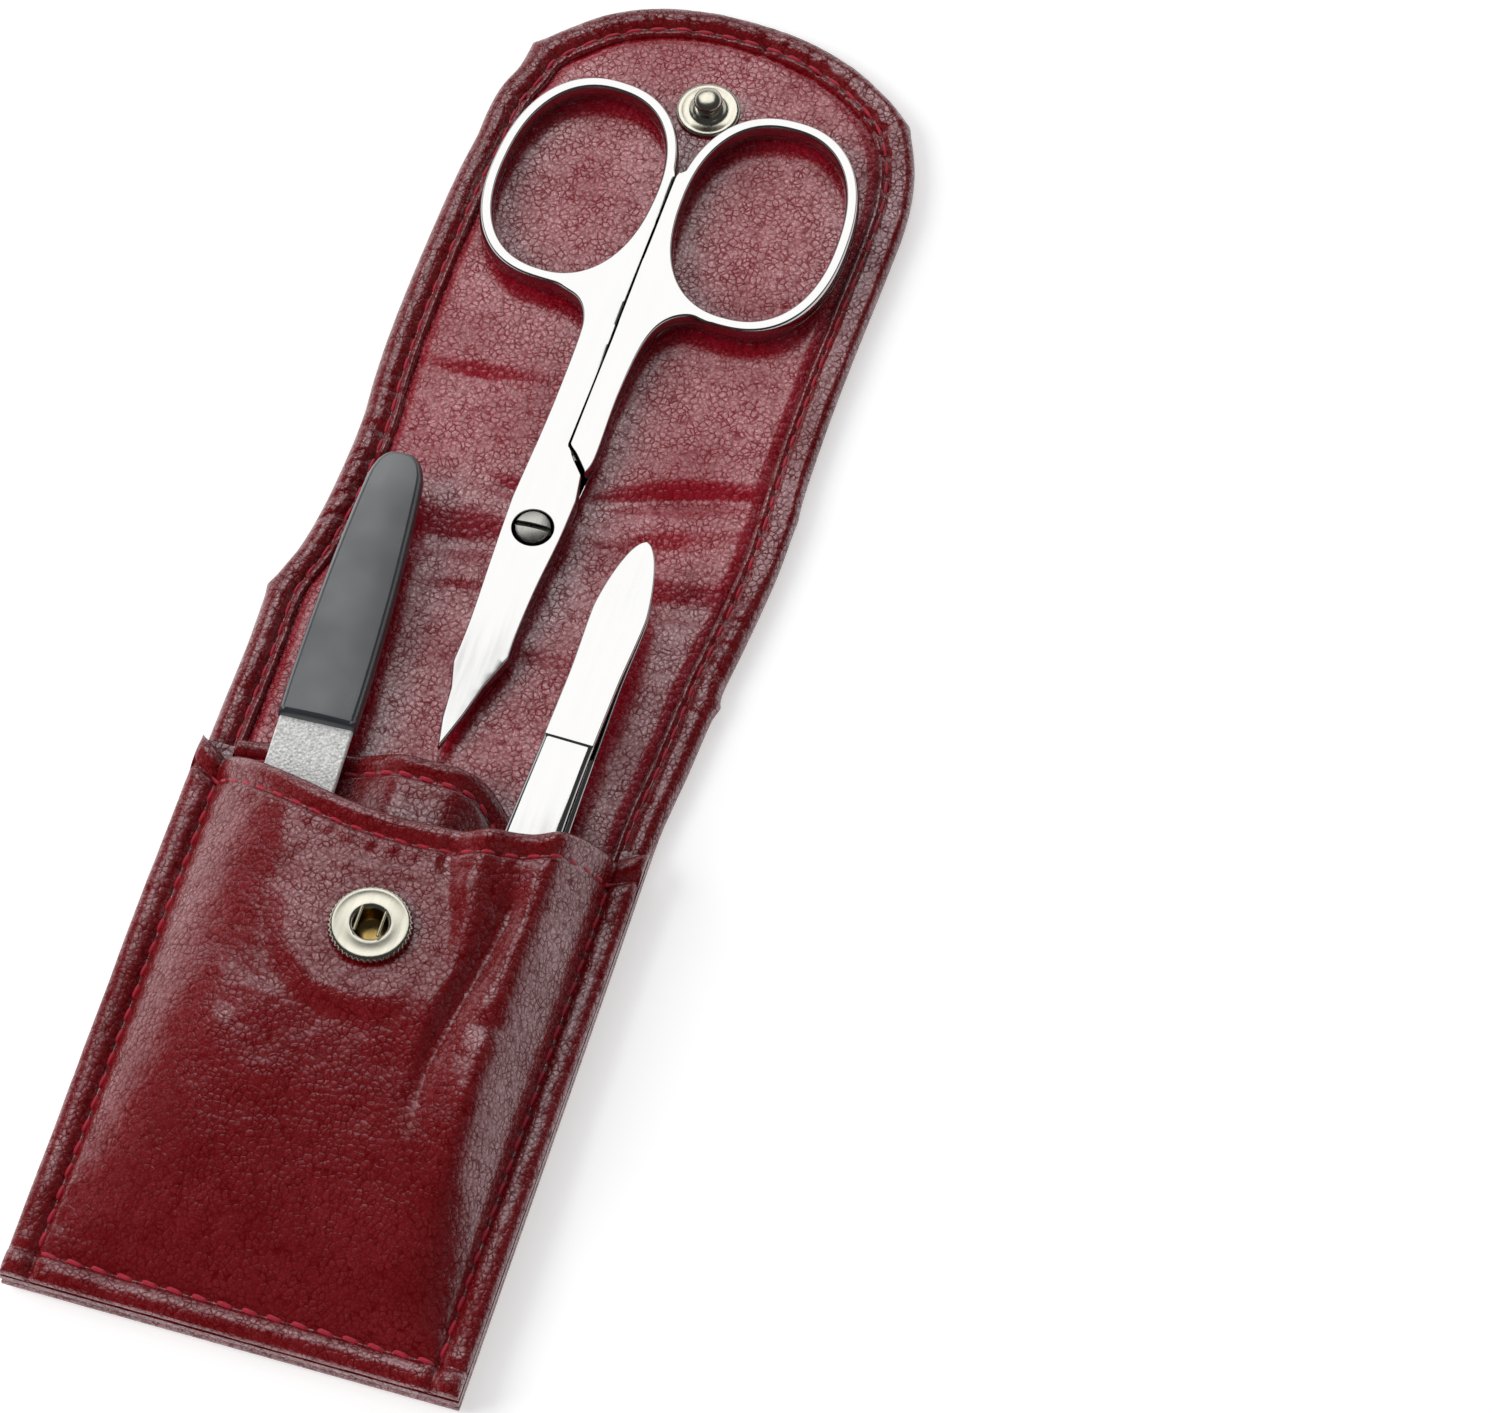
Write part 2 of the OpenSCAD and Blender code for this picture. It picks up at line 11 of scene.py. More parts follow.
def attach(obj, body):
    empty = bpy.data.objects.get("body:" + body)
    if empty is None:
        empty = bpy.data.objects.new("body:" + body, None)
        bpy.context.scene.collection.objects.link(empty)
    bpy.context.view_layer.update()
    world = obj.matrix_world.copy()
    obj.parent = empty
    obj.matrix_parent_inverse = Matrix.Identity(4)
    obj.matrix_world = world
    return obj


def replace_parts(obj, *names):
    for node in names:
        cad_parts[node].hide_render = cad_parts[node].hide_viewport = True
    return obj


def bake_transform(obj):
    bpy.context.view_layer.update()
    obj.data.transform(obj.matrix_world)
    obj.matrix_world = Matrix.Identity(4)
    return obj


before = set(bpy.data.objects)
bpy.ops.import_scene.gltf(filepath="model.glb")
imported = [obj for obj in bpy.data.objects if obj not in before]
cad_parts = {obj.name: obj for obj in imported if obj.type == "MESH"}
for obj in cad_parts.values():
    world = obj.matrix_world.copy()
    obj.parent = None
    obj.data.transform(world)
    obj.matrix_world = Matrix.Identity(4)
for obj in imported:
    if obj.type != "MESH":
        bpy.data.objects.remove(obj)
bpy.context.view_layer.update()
scene = bpy.context.scene

# Sizes of the part, in mm, in the case's own frame: x across, y along, z up from the table
REST_Y = 50
CASE_HALF = 26.5
FLAP_HALF, FLAP_X, FLAP_TIP, TIP_LEN = 26.65, 3.55, 185.7, 25.7
TIP_Y = FLAP_TIP - TIP_LEN
TIP_POWER = 2.4
FOLD_X, FOLD_Y, SPINE = 1.9, 109.3, 13.5
BACK_T = 2.4
POCKET, SCOOP = 70.4, 8
FRONT_H, FRONT_T, EDGE_Z = 13, 1.3, 4.5
SOCKET, STUD = (1, 48), (2.8, 170.6)
PIVOT = (1, 106.7)
STITCH_IN = 3.3


def clamp01(t):
    return np.clip(t, 0, 1)


def ease(t):
    c = clamp01(t)
    return c * c * (3 - 2 * c)


def mix(a, b, t):
    return a + (b - a) * t


def bump(t, width):
    return np.exp(-((t / width) ** 2))


def run_lengths(p):
    """The distance along a path at each of its points."""
    return np.concatenate([[0], np.cumsum(np.linalg.norm(np.diff(p, axis=0), axis=1))])


def catmull(points, per):
    """A smooth path through points, with per steps between each two."""
    p = [np.array(q, float) for q in points]
    out = []
    for i in range(len(p) - 1):
        a, b, c, d = p[max(i - 1, 0)], p[i], p[i + 1], p[min(i + 2, len(p) - 1)]
        for k in range(per):
            t = k / per
            out.append(0.5 * (2 * b + (c - a) * t + (2 * a - 5 * b + 4 * c - d) * t * t
                              + (3 * b - a - 3 * c + d) * t ** 3))
    out.append(p[-1])
    return np.array(out)


# ---------------------------------------------------------------- camera
ELEVATION, DISTANCE, FOCAL, TURN = math.radians(60.5), 793.5, 6870, math.radians(16.8)
PHOTO_WIDTH, SENSOR = 1500, 36
TABLE_AT = Vector((-57.05, -81.23))


def to_row(x, y, z):
    """A point of the photo's table plane (X right, Y away) in the row frame, in metres."""
    dx, dy = x - TABLE_AT.x, y - TABLE_AT.y
    c, s = math.cos(TURN), math.sin(TURN)
    return Vector((c * dx - s * dy, s * dx + c * dy - REST_Y, z)) / 1000


def turned(v):
    c, s = math.cos(TURN), math.sin(TURN)
    return Vector((c * v[0] - s * v[1], s * v[0] + c * v[1], v[2]))


camera = bpy.data.objects.new("camera", bpy.data.cameras.new("camera"))
scene.collection.objects.link(camera)
scene.camera = camera
camera.data.lens = FOCAL / PHOTO_WIDTH * SENSOR
camera.data.sensor_width = SENSOR
camera.data.clip_start, camera.data.clip_end = 0.01, 20
back = Vector((0, -math.cos(ELEVATION), math.sin(ELEVATION)))
axes = [turned((1, 0, 0)), turned((0, math.sin(ELEVATION), math.cos(ELEVATION))), turned(back)]
pose = Matrix(axes).transposed().to_4x4()
pose.translation = to_row(*(back * DISTANCE))
camera.matrix_world = pose


# ---------------------------------------------------------------- light
scene.view_settings.view_transform = "Standard"


def area_light(name, at, size, energy, colour=(1, 1, 1), mirrored=False):
    """A panel over the table, turned to its middle. at is in mm and size in m; mirrored lets metal show it."""
    lamp = bpy.data.lights.new(name, "AREA")
    lamp.shape, lamp.size, lamp.size_y = "RECTANGLE", size[0], size[1]
    lamp.energy, lamp.color = energy, colour
    o = bpy.data.objects.new(name, lamp)
    scene.collection.objects.link(o)
    o.location = to_row(*at)
    o.rotation_euler = (to_row(0, 0, 0) - o.location).to_track_quat("-Z", "Y").to_euler()
    o.visible_glossy = mirrored


area_light("sky_panel", (-110, 590, 800), (0.6, 0.5), 1.8, (1, 0.995, 0.99), mirrored=True)
area_light("left_panel", (-1000, -50, 700), (1.0, 0.9), 12.5)
area_light("front_panel", (500, -900, 700), (1.1, 0.8), 4.2)


def put(tree, value, socket):
    """Links a socket to an input, or gives the input a plain value."""
    if isinstance(value, bpy.types.NodeSocket):
        tree.links.new(value, socket)
    else:
        socket.default_value = value


def node(tree, kind, **values):
    """A shader node: iN and in_Name fill its inputs, by number or by name, and the rest are its properties."""
    n = tree.nodes.new("ShaderNode" + kind)
    for key, value in values.items():
        if key.startswith("in_"):
            put(tree, value, n.inputs[key[3:].replace("_", " ")])
        elif key[0] == "i" and key[1:].isdigit():
            put(tree, value, n.inputs[int(key[1:])])
        else:
            setattr(n, key, value)
    return n


def blend(tree, factor, a, b):
    """The colour at a factor between a and b, each a socket or red, green and blue."""
    a, b = ((*c, 1) if isinstance(c, tuple) else c for c in (a, b))
    return node(tree, "Mix", data_type="RGBA", i0=factor, i6=a, i7=b).outputs[2]


PALE, DIM = (0.9, 0.905, 0.91), (0.058, 0.059, 0.061)
PALE_UP_TO, DIM_FROM = 0.03, 0.36  # height of a ray, as a share of its length
NEAR_SIDE = 0.35


def studio():
    """Pale round the horizon, dim overhead and on the photographer's side. The camera sees it pale all over."""
    world = bpy.data.worlds.new("studio")
    scene.world = world
    world.use_nodes = True
    tree = world.node_tree
    tree.nodes.clear()
    ray = node(tree, "TexCoord").outputs["Generated"]
    height = node(tree, "Math", operation="ABSOLUTE", i0=node(tree, "SeparateXYZ", i0=ray).outputs["Z"])
    near = node(tree, "VectorMath", operation="DOT_PRODUCT", i0=ray,
                i1=tuple(-NEAR_SIDE * v for v in turned((0, 1, 0))))
    total = node(tree, "Math", operation="ADD", i0=height.outputs[0], i1=near.outputs["Value"])
    climb = node(tree, "MapRange", interpolation_type="SMOOTHSTEP", in_Value=total.outputs[0],
                 in_From_Min=PALE_UP_TO, in_From_Max=DIM_FROM)
    sky = blend(tree, climb.outputs[0], PALE, DIM)
    shown = blend(tree, node(tree, "LightPath").outputs["Is Camera Ray"], sky, PALE)
    light = node(tree, "Background", i0=shown, i1=1.0)
    node(tree, "OutputWorld", i0=light.outputs[0])


studio()


# ---------------------------------------------------------------- materials


class Mat:
    """A Principled material with helpers to wire procedural detail."""

    def __init__(self, name, colour=(0.8, 0.8, 0.8), metallic=0.0, roughness=0.5):
        self.m = bpy.data.materials.new(name)
        self.m.use_nodes = True
        self.t = self.m.node_tree
        self.b = self.t.nodes["Principled BSDF"]
        self.set(Base_Color=(*colour, 1), Metallic=metallic, Roughness=roughness)
        self.coord = self.node("TexCoord").outputs["Object"]
        self.normal = None

    def node(self, kind, **values):
        return node(self.t, kind, **values)

    def set(self, **values):
        for key, value in values.items():
            put(self.t, value, self.b.inputs[key.replace("_", " ")])

    def noise(self, scale, detail=3, stretch=None):
        where = self.coord
        if stretch:
            where = self.node("Mapping", in_Scale=stretch, in_Vector=where).outputs[0]
        return self.node("TexNoise", in_Scale=scale, in_Detail=detail, in_Roughness=0.55,
                         in_Vector=where).outputs["Fac"]

    def cells(self, scale, feature="DISTANCE_TO_EDGE", coord=None):
        return self.node("TexVoronoi", feature=feature, in_Scale=scale,
                         in_Vector=coord or self.coord).outputs["Distance"]

    def warped(self, scale, amount):
        """The object's coordinates, shifted by up to half the amount each way."""
        cloud = self.node("TexNoise", in_Scale=scale, in_Detail=2.0, in_Vector=self.coord).outputs["Color"]
        shift = self.node("VectorMath", operation="SUBTRACT", i0=cloud, i1=(0.5, 0.5, 0.5)).outputs[0]
        shift = self.node("VectorMath", operation="SCALE", i0=shift, in_Scale=amount).outputs[0]
        return self.node("VectorMath", operation="ADD", i0=shift, i1=self.coord).outputs[0]

    def remap(self, value, a, b, c=0.0, d=1.0):
        return self.node("MapRange", in_Value=value, in_From_Min=a, in_From_Max=b, in_To_Min=c,
                         in_To_Max=d).outputs[0]

    def math(self, op, a, b):
        return self.node("Math", operation=op, i0=a, i1=b).outputs[0]

    def blend(self, factor, a, b):
        return blend(self.t, factor, a, b)

    def bump(self, value, strength, distance):
        n = self.node("Bump", in_Strength=strength, in_Distance=distance, in_Height=value)
        if self.normal is not None:
            put(self.t, self.normal, n.inputs["Normal"])
        self.normal = n.outputs["Normal"]
        self.set(Normal=self.normal)


PEBBLES = 1300  # grains of the leather in a metre


def leather(name, dark, light, rough, grain, shine, coat):
    """Pebbled leather: rounded grains, finer ones on them, and a sheen that breaks off in the creases. The base
    colour follows the same mask, with painted shade in the creases and painted sheen on the grains.
    """
    m = Mat(name, roughness=rough)
    w = m.warped(430, 0.0008)
    pebble = m.cells(PEBBLES, "F1", w)
    small = m.cells(2.4 * PEBBLES, "F1", w)
    crease = m.remap(m.cells(PEBBLES, coord=w), 0.01, 0.13)
    soft = m.math("MAXIMUM", crease, m.remap(m.noise(620, 2), 0.42, 0.62, 0.1, 0.75))
    cloud = m.remap(m.noise(110, 4), 0.32, 0.68, 0.5, 1.0)
    fine = m.noise(5200, 2)
    sheen_and_crease_shade = m.math("MULTIPLY", m.math("MULTIPLY", soft, m.remap(small, 0.15, 0.6, 1.0, 0.5)), cloud)
    m.bump(m.noise(230, 2), 1.0, 0.00011 * grain)
    m.bump(m.remap(m.math("MULTIPLY", pebble, pebble), 0.0, 0.5, 1.0, 0.0), 1.0, 0.00009 * grain)
    m.bump(soft, 0.6, 0.00003)
    m.bump(m.remap(m.math("MULTIPLY", small, small), 0.0, 0.5, 1.0, 0.0), 1.0, 0.00002 * grain)
    m.bump(fine, 0.6, 0.000015)
    # the base colour is painted from the sheen mask: painted shade darkens the creases and painted sheen
    # lightens the grains, mottled by the cloud
    m.set(Base_Color=m.blend(sheen_and_crease_shade, dark, light), Roughness=m.remap(fine, 0.3, 0.7, rough - 0.05, rough + 0.1),
          Specular_IOR_Level=m.remap(sheen_and_crease_shade, 0.0, 0.85, 0.08, shine), IOR=1.65, Specular_Tint=(1, 0.9, 1, 1),
          Coat_Weight=m.remap(sheen_and_crease_shade, 0.0, 0.85, 0.0, coat), Coat_Roughness=rough - 0.04, Coat_IOR=2.0)
    return m.m


def thread_material():
    m = Mat("thread", (0.4, 0.01, 0.03), roughness=0.55)
    n = m.noise(2600, 2)
    m.set(Base_Color=m.blend(n, (0.26, 0.005, 0.016), (0.58, 0.02, 0.055)), Sheen_Weight=0.3)
    m.bump(n, 0.5, 0.00008)
    return m.m


def chrome(name, colour, rough, brush, scale):
    """Polished or brushed metal, with fine marks along y."""
    m = Mat(name, colour, 1.0, rough)
    n = m.noise(scale, stretch=(1, 0.06, 1))
    m.set(Roughness=m.remap(n, 0.3, 0.7, max(rough - 0.04, 0.02), rough + 0.05))
    m.bump(m.noise(45, 1), 0.4, 0.0002)
    m.bump(n, brush, 0.00002)
    return m.m


def plastic_material():
    m = Mat("black_plastic", (0.012, 0.014, 0.016), roughness=0.3)
    cloud = m.noise(95, 2)
    tone = m.blend(m.remap(cloud, 0.4, 0.7), (0.02, 0.023, 0.028), (0.036, 0.043, 0.049))
    m.set(Base_Color=tone, Roughness=m.remap(cloud, 0.36, 0.68, 0.44, 0.27), Specular_IOR_Level=1.0,
          Coat_Weight=0.7, Coat_IOR=1.6, Coat_Roughness=0.3)
    m.bump(m.noise(110, 2), 0.4, 0.0001)
    m.bump(m.noise(1500, 2), 0.25, 0.00003)
    return m.m


def file_material():
    m = Mat("file_grit", (0.6, 0.6, 0.59), 0.3, 0.4)
    speck = m.noise(3200, 2)
    m.set(Base_Color=m.blend(m.remap(speck, 0.32, 0.6), (0.55, 0.55, 0.54), (0.92, 0.92, 0.91)))
    m.bump(m.cells(2600, "F1"), 0.6, 0.0001)
    m.bump(speck, 0.5, 0.00007)
    return m.m


def board_material():
    m = Mat("board_fibre", (0.35, 0.3, 0.24), roughness=0.9)
    n = m.noise(1800, 4, stretch=(1, 0.3, 1))
    m.set(Base_Color=m.blend(n, (0.26, 0.22, 0.17), (0.42, 0.37, 0.3)))
    m.bump(n, 0.4, 0.0001)
    return m.m


# for each leather, dark is its colour with painted crease shade and light is its colour with painted sheen
LEATHER = leather("leather_grain", (0.1, 0.001, 0.0015), (0.25, 0.0025, 0.006), 0.24, 0.55, 1.0, 0.7)
LINING = leather("lining_grain", (0.18, 0.0012, 0.005), (0.46, 0.007, 0.028), 0.24, 1.0, 1.0, 1.0)
EDGE = leather("edge_leather", (0.095, 0.001, 0.0015), (0.24, 0.0025, 0.006), 0.19, 0.45, 1.0, 0.7)
THREAD = thread_material()
CHROME = chrome("polished_steel", (0.5, 0.499, 0.495), 0.09, 0.06, 900)
SPRING = chrome("spring_wire", (0.55, 0.5, 0.36), 0.2, 0.1, 900)
BRASS = chrome("light_gold", (0.54, 0.52, 0.44), 0.22, 0.1, 1400)
SCREW = chrome("screw_steel", (0.36, 0.35, 0.33), 0.27, 0.3, 1500)
# the socket cup's gold, darkened with painted shade for the deep hole it lines
GOLD_HOLE_SHADE = chrome("gold_painted_hole_shade", (0.36, 0.24, 0.08), 0.22, 0.12, 1400)
PLASTIC = plastic_material()
GRIT = file_material()
BOARD = board_material()


# ---------------------------------------------------------------- mesh helpers


def to_mesh(name, points, faces, material, weld=0.0):
    """A smooth mesh from points in mm in the case's frame. Points closer than weld, in m, become one."""
    p = np.asarray(points, float)
    v = np.column_stack([p[:, 0], p[:, 1] - REST_Y, p[:, 2]]) / 1000
    me = bpy.data.meshes.new(name)
    me.from_pydata(v.tolist(), [], faces)
    me.materials.append(material)
    if weld:
        b = bmesh.new()
        b.from_mesh(me)
        bmesh.ops.remove_doubles(b, verts=b.verts, dist=weld)
        bmesh.ops.dissolve_degenerate(b, dist=1e-7, edges=b.edges)
        b.to_mesh(me)
        b.free()
    me.polygons.foreach_set("use_smooth", [True] * len(me.polygons))
    me.update()
    o = bpy.data.objects.new(name, me)
    scene.collection.objects.link(o)
    return o


def grid_faces(rows, cols, start=0, flip=False, wrap=False):
    """The faces of a grid of points that are numbered row by row. wrap closes each row."""
    out = []
    for i in range(rows - 1):
        for j in range(cols if wrap else cols - 1):
            k = (j + 1) % cols
            low, high = start + i * cols, start + (i + 1) * cols
            f = [low + j, low + k, high + k, high + j]
            out.append(f[::-1] if flip else f)
    return out


def sharpen(o, angle):
    """Keeps edges sharper than angle, and weights the normals by face area."""
    o.data.set_sharp_from_angle(angle=math.radians(angle))
    w = o.modifiers.new("weighted", "WEIGHTED_NORMAL")
    w.keep_sharp = True
    w.weight = 90
    return o


def apply(o):
    """Applies the modifiers."""
    me = bpy.data.meshes.new_from_object(o.evaluated_get(bpy.context.evaluated_depsgraph_get()))
    o.modifiers.clear()
    o.data = me


def revolve(name, profile, at, material, steps=96, radius=None):
    """Turns a profile of (radius, height) round the vertical through at. radius(r, h, angle) shapes its rim."""
    p = []
    for r, h in profile:
        for k in range(steps):
            a = 2 * math.pi * k / steps
            rr = radius(r, h, a) if radius else r
            p.append((at[0] + rr * math.cos(a), at[1] + rr * math.sin(a), at[2] + h))
    return to_mesh(name, p, grid_faces(len(profile), steps, wrap=True, flip=True), material)


# ---------------------------------------------------------------- stitches
UP, DOWN = (0, 0, 1), (0, 0, -1)
THREAD_SIDES, THREAD_RINGS = 8, 9
PITCH_SLIP, LEAN_SLIP = 0.08, 0.05


def stitch_run(name, path, pitch=2.9, dash=2.15, radius=0.27, lean=0.0, sink=0.12, up=UP):
    """Dashes of thread along a path of points in mm. Both ends of each dash dive into the leather."""
    p = np.asarray(path, float)
    s = run_lengths(p)
    total = s[-1]
    count = max(1, int((total - dash) / pitch) + 1)
    start = (total - (count - 1) * pitch - dash) / 2
    verts, faces = [], []
    rng = random.Random(name)

    def at(q):
        q = min(max(q, 0), total)
        return np.array([np.interp(q, s, p[:, c]) for c in range(3)])

    for i in range(count):
        a = start + i * pitch + rng.uniform(-PITCH_SLIP, PITCH_SLIP)
        t = at(a + dash) - at(a)
        t /= np.linalg.norm(t)
        side = np.cross(t, up)
        side /= np.linalg.norm(side)
        rise = np.cross(side, t)
        base = len(verts)
        skew = lean + rng.uniform(-LEAN_SLIP, LEAN_SLIP)
        for k in range(THREAD_RINGS):
            f = k / (THREAD_RINGS - 1)
            arch = 1 - (2 * f - 1) ** 4
            c = at(a + dash * f) + side * skew * (f - 0.5) + rise * (radius * (1.25 * arch - 0.95) - sink)
            r = radius * (0.55 + 0.45 * arch)
            for j in range(THREAD_SIDES):
                w = 2 * math.pi * j / THREAD_SIDES
                verts.append(c + side * r * 1.1 * math.cos(w) + rise * r * math.sin(w))
        first = list(range(base, base + THREAD_SIDES))
        last = list(range(len(verts) - THREAD_SIDES, len(verts)))
        faces += grid_faces(THREAD_RINGS, THREAD_SIDES, base, wrap=True) + [first, last[::-1]]
    return to_mesh(name, verts, faces, THREAD)


# ---------------------------------------------------------------- cover
SIDE_LEFT = [(-26.5, 0), (-26.7, 25), (-27.05, 55), (-26.9, 74), (-26.75, 84), (-26.85, 91.5), (-26.2, 95),
             (-25.15, 98.5), (-24.45, 102.5), (-24.0, 107), (-23.7, 113), (-23.7, 118), (-24.1, 123),
             (-24.35, 129), (-24.35, 137), (-24.05, 147), (-23.7, 154), (-23.1, TIP_Y)]
SIDE_RIGHT = [(26.5, 0), (26.5, 50), (26.45, 72), (26.75, 78), (27.2, 83), (27.55, 89), (27.8, 94),
              (28.3, 98.5), (28.95, 105), (29.4, 111), (29.45, 117), (29.25, 124), (29.25, 134), (29.55, 144),
              (29.95, 153), (30.2, TIP_Y)]
# Corners where the hide is folded over: (y, height, width)
JUTS = {-1: [(92.8, 0.5, 0.9)], 1: [(92.2, 0.6, 0.9), (119, 0.2, 1.5)]}


def side_path(side, inset):
    """The cover's side at a distance from its edge."""
    p = catmull(SIDE_LEFT if side < 0 else SIDE_RIGHT, 12)
    jut = sum(high * np.exp(-np.abs(p[:, 1] - at) / wide) for at, high, wide in JUTS[side])
    return np.column_stack([p[:, 0] - side * inset + side * jut * math.exp(-inset / 1.5), p[:, 1]])


def side_x(side, inset, y):
    p = side_path(side, inset)
    return np.interp(y, p[:, 1], p[:, 0])


def tip_point(angle, inset, m=1.0):
    """A point of the rounded tip, at share m of the way out."""
    a, b = FLAP_HALF - inset, TIP_LEN - inset
    c, s = np.cos(angle), np.sin(angle)
    r = (np.abs(c / a) ** TIP_POWER + np.abs(s / b) ** TIP_POWER) ** (-1 / TIP_POWER)
    deg = np.degrees(angle)
    r = r - 0.45 * ease((deg - 36) / 14) * ease((150 - deg) / 14)
    r = r - 0.35 * bump(deg - 62, 17) - 0.4 * bump(deg - 157, 5)
    corners = 0.8 * np.exp(-np.abs(deg - 149) / 3.2) + 0.5 * np.exp(-np.abs(deg - 34.6) / 3)
    r = r + corners * math.exp(-inset / 2)
    return FLAP_X + m * r * c, TIP_Y + m * r * s


# Places of the cover's grid: along its straight sides as shares, across it, and out to the rounded tip
ROW_T = np.unique(np.concatenate([np.linspace(0, 0.62, 120), np.linspace(0.56, 0.76, 70),
                                  np.linspace(0.76, 1, 56)]))
ROW_T = ROW_T[np.concatenate([[True], np.diff(ROW_T) > 0.0015])]
ROW_T[-1] = 1.0
U = np.linspace(-1, 1, 81)
V = np.linspace(0, 1, 41)[1:]


def row_y(t, inset):
    return inset + (TIP_Y - inset) * t


def side_points(side, inset, ys):
    return np.column_stack([side_x(side, inset, ys), ys])


def cover_loop(inset):
    """The closed outline of the cover at a distance from its edge."""
    ys = row_y(ROW_T, inset)
    angles = np.concatenate([np.arctan2(V, -1), np.arctan2(1, U[1:-1]), np.arctan2(V[::-1], 1)])
    tip = np.column_stack(tip_point(angles, inset))
    lo, hi = side_x(-1, inset, inset), side_x(1, inset, inset)
    low = np.column_stack([mix(lo, hi, (U[::-1][1:-1] + 1) / 2), np.full(len(U) - 2, inset)])
    return np.concatenate([side_points(-1, inset, ys), tip, side_points(1, inset, ys)[::-1], low])


def cover_grid(inset):
    """Rows of points that fill the outline at a distance from its edge."""
    rows = []
    for t in ROW_T:
        y = row_y(t, inset)
        lo, hi = side_x(-1, inset, y), side_x(1, inset, y)
        rows.append(np.column_stack([mix(lo, hi, (U + 1) / 2), np.full(len(U), y)]))
    for v in V:
        m = np.maximum(np.abs(U), v)
        rows.append(np.column_stack(tip_point(np.arctan2(v, U), inset, m)))
    return np.array(rows)


def fbm(x, y, scale, seed=0.0, octaves=3):
    out = np.empty(len(x))
    for i, (a, b) in enumerate(zip(x, y)):
        v = Vector((a / scale, b / scale, seed))
        out[i] = noise.fractal(v, 1.0, 2.0, octaves)
    return out


# Creases of the lining: (y, depth, width, slope along x, x of its middle, half length), in mm
CREASES = [(116.8, 0.6, 1.3, 0.28, 16, 9), (112.8, -0.3, 2.2, 0.25, 16, 10), (120.8, -0.3, 2.2, 0.25, 18, 9),
           (112.6, 0.4, 1.2, -0.05, -1, 7), (104, 0.65, 2.7, 0.1, -9, 13), (103.5, 0.55, 2.6, 0.12, 20, 9),
           (109, -0.3, 2.8, 0.05, -12, 9), (126.5, 0.35, 1.6, 0.15, -13, 8), (129.5, -0.25, 2.5, 0.1, -12, 10),
           (98, 0.3, 1.6, 0.05, -4, 8), (93.5, -0.35, 3, 0.02, 6, 12), (143, 0.2, 2.5, -0.2, 20, 7)]


def lining_z(x, y):
    """Height of the lining: soft creases near the folds, and broad waves."""
    z = BACK_T + 0.08 * fbm(x, y, 7, 3.1) + 0.16 * fbm(x, y, 20, 7.7)
    for cy, depth, wide, tilt, at, half in CREASES:
        line = cy + tilt * (x - at) + 0.6 * np.sin((x + cy) / 5.0)
        z = z - depth * bump(y - line, wide) * bump(x - at, half)
    return z


# Hem: (distance from the edge, height), from the groove underneath round the rim to the lining
HEM_UNDER = [(4.6, 0.0), (4.1, 0.0), (3.8, 0.04), (3.5, 0.2), (3.3, 0.27), (3.1, 0.2), (2.8, 0.04),
             (2.4, 0.0), (1.8, 0.0), (1.2, 0.03), (0.75, 0.12), (0.4, 0.34), (0.14, 0.7), (0.02, 1.05)]
HEM_OVER = [(0.0, 1.4), (0.06, 1.75), (0.2, 2.1), (0.45, 2.45), (0.8, 2.7), (1.2, 2.86), (1.65, 2.92),
            (2.1, 2.88), (2.5, 2.76), (2.8, 2.62), (3.05, 2.45), (3.2, 2.36), (3.3, 2.34), (3.4, 2.37),
            (3.55, 2.48), (3.75, 2.58), (3.95, 2.6), (4.15, 2.52), (4.3, 2.36), (4.4, 2.05)]
HEM_SIDE, GROOVE_Z = 1.3, 2.34
SWEPT_TOP = 2.62  # where the opened scissors sweep over the right side
LINING_IN = 4.1


def hem_wave(x, y):
    return 0.12 * fbm(x, y, 6, 12.4) + 0.10 * fbm(x, y, 2.4, 5.0, 2)


def swept(x, y):
    """1 where the opened scissors pass over the hem."""
    return ease((y - 104) / 8) * ease((184 - y) / 8) * ease((x - 12) / 6)


def pleat_places(loop):
    """Small folds across the hem, crowded round the tip and the waist.

    Gives the distance along the loop, and each fold's place on it, depth, width and slant.
    """
    rng = random.Random(11)
    s = run_lengths(loop)
    out, at = [], 4.0
    while at < s[-1]:
        y = np.interp(at, s, loop[:, 1])
        busy = max(float(bump(y - 106, 16)), float(ease((y - 158) / 12)))
        if y > 74:
            out.append((at, rng.uniform(0.08, 0.16) + 0.22 * busy * rng.random(), rng.uniform(0.25, 0.6),
                        rng.uniform(-0.5, 0.5)))
        at += mix(9, 2.2, busy) * rng.uniform(0.6, 1.4)
    return s, out


def pleats(s, places, inset):
    """Depth of the folds along the loop at a distance from the edge, as a share that fades at the rim."""
    d = sum(depth * bump(s - at - slant * inset, wide) for at, depth, wide, slant in places)
    return d * float(ease(inset / 1.2))


def normals_from(p, faces):
    """Area-weighted normals at the points of a mesh of quads."""
    n = np.zeros_like(p)
    for f in faces:
        q = p[f]
        n[f] += np.cross(q[2] - q[0], q[3] - q[1])
    length = np.linalg.norm(n, axis=1)
    length[length == 0] = 1
    return n / length[:, None]


def split_piece(name, points, faces, normals, high, material):
    """The part of a mesh on one side of the first fold, with the whole mesh's normals."""
    chosen = [f for f in faces if (points[f].mean(axis=0)[1] >= FOLD_Y) == high]
    used = sorted({i for f in chosen for i in f})
    index = {v: k for k, v in enumerate(used)}
    o = to_mesh(name, points[used], [[index[i] for i in f] for f in chosen], material)
    o.data.normals_split_custom_set_from_vertices([Vector(normals[i]) for i in used])
    return o


def bend(o, high):
    """Bakes a piece's place into its points; the high and the low part are treated alike."""
    if high:
        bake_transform(o)
    else:
        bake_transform(o)
    return o


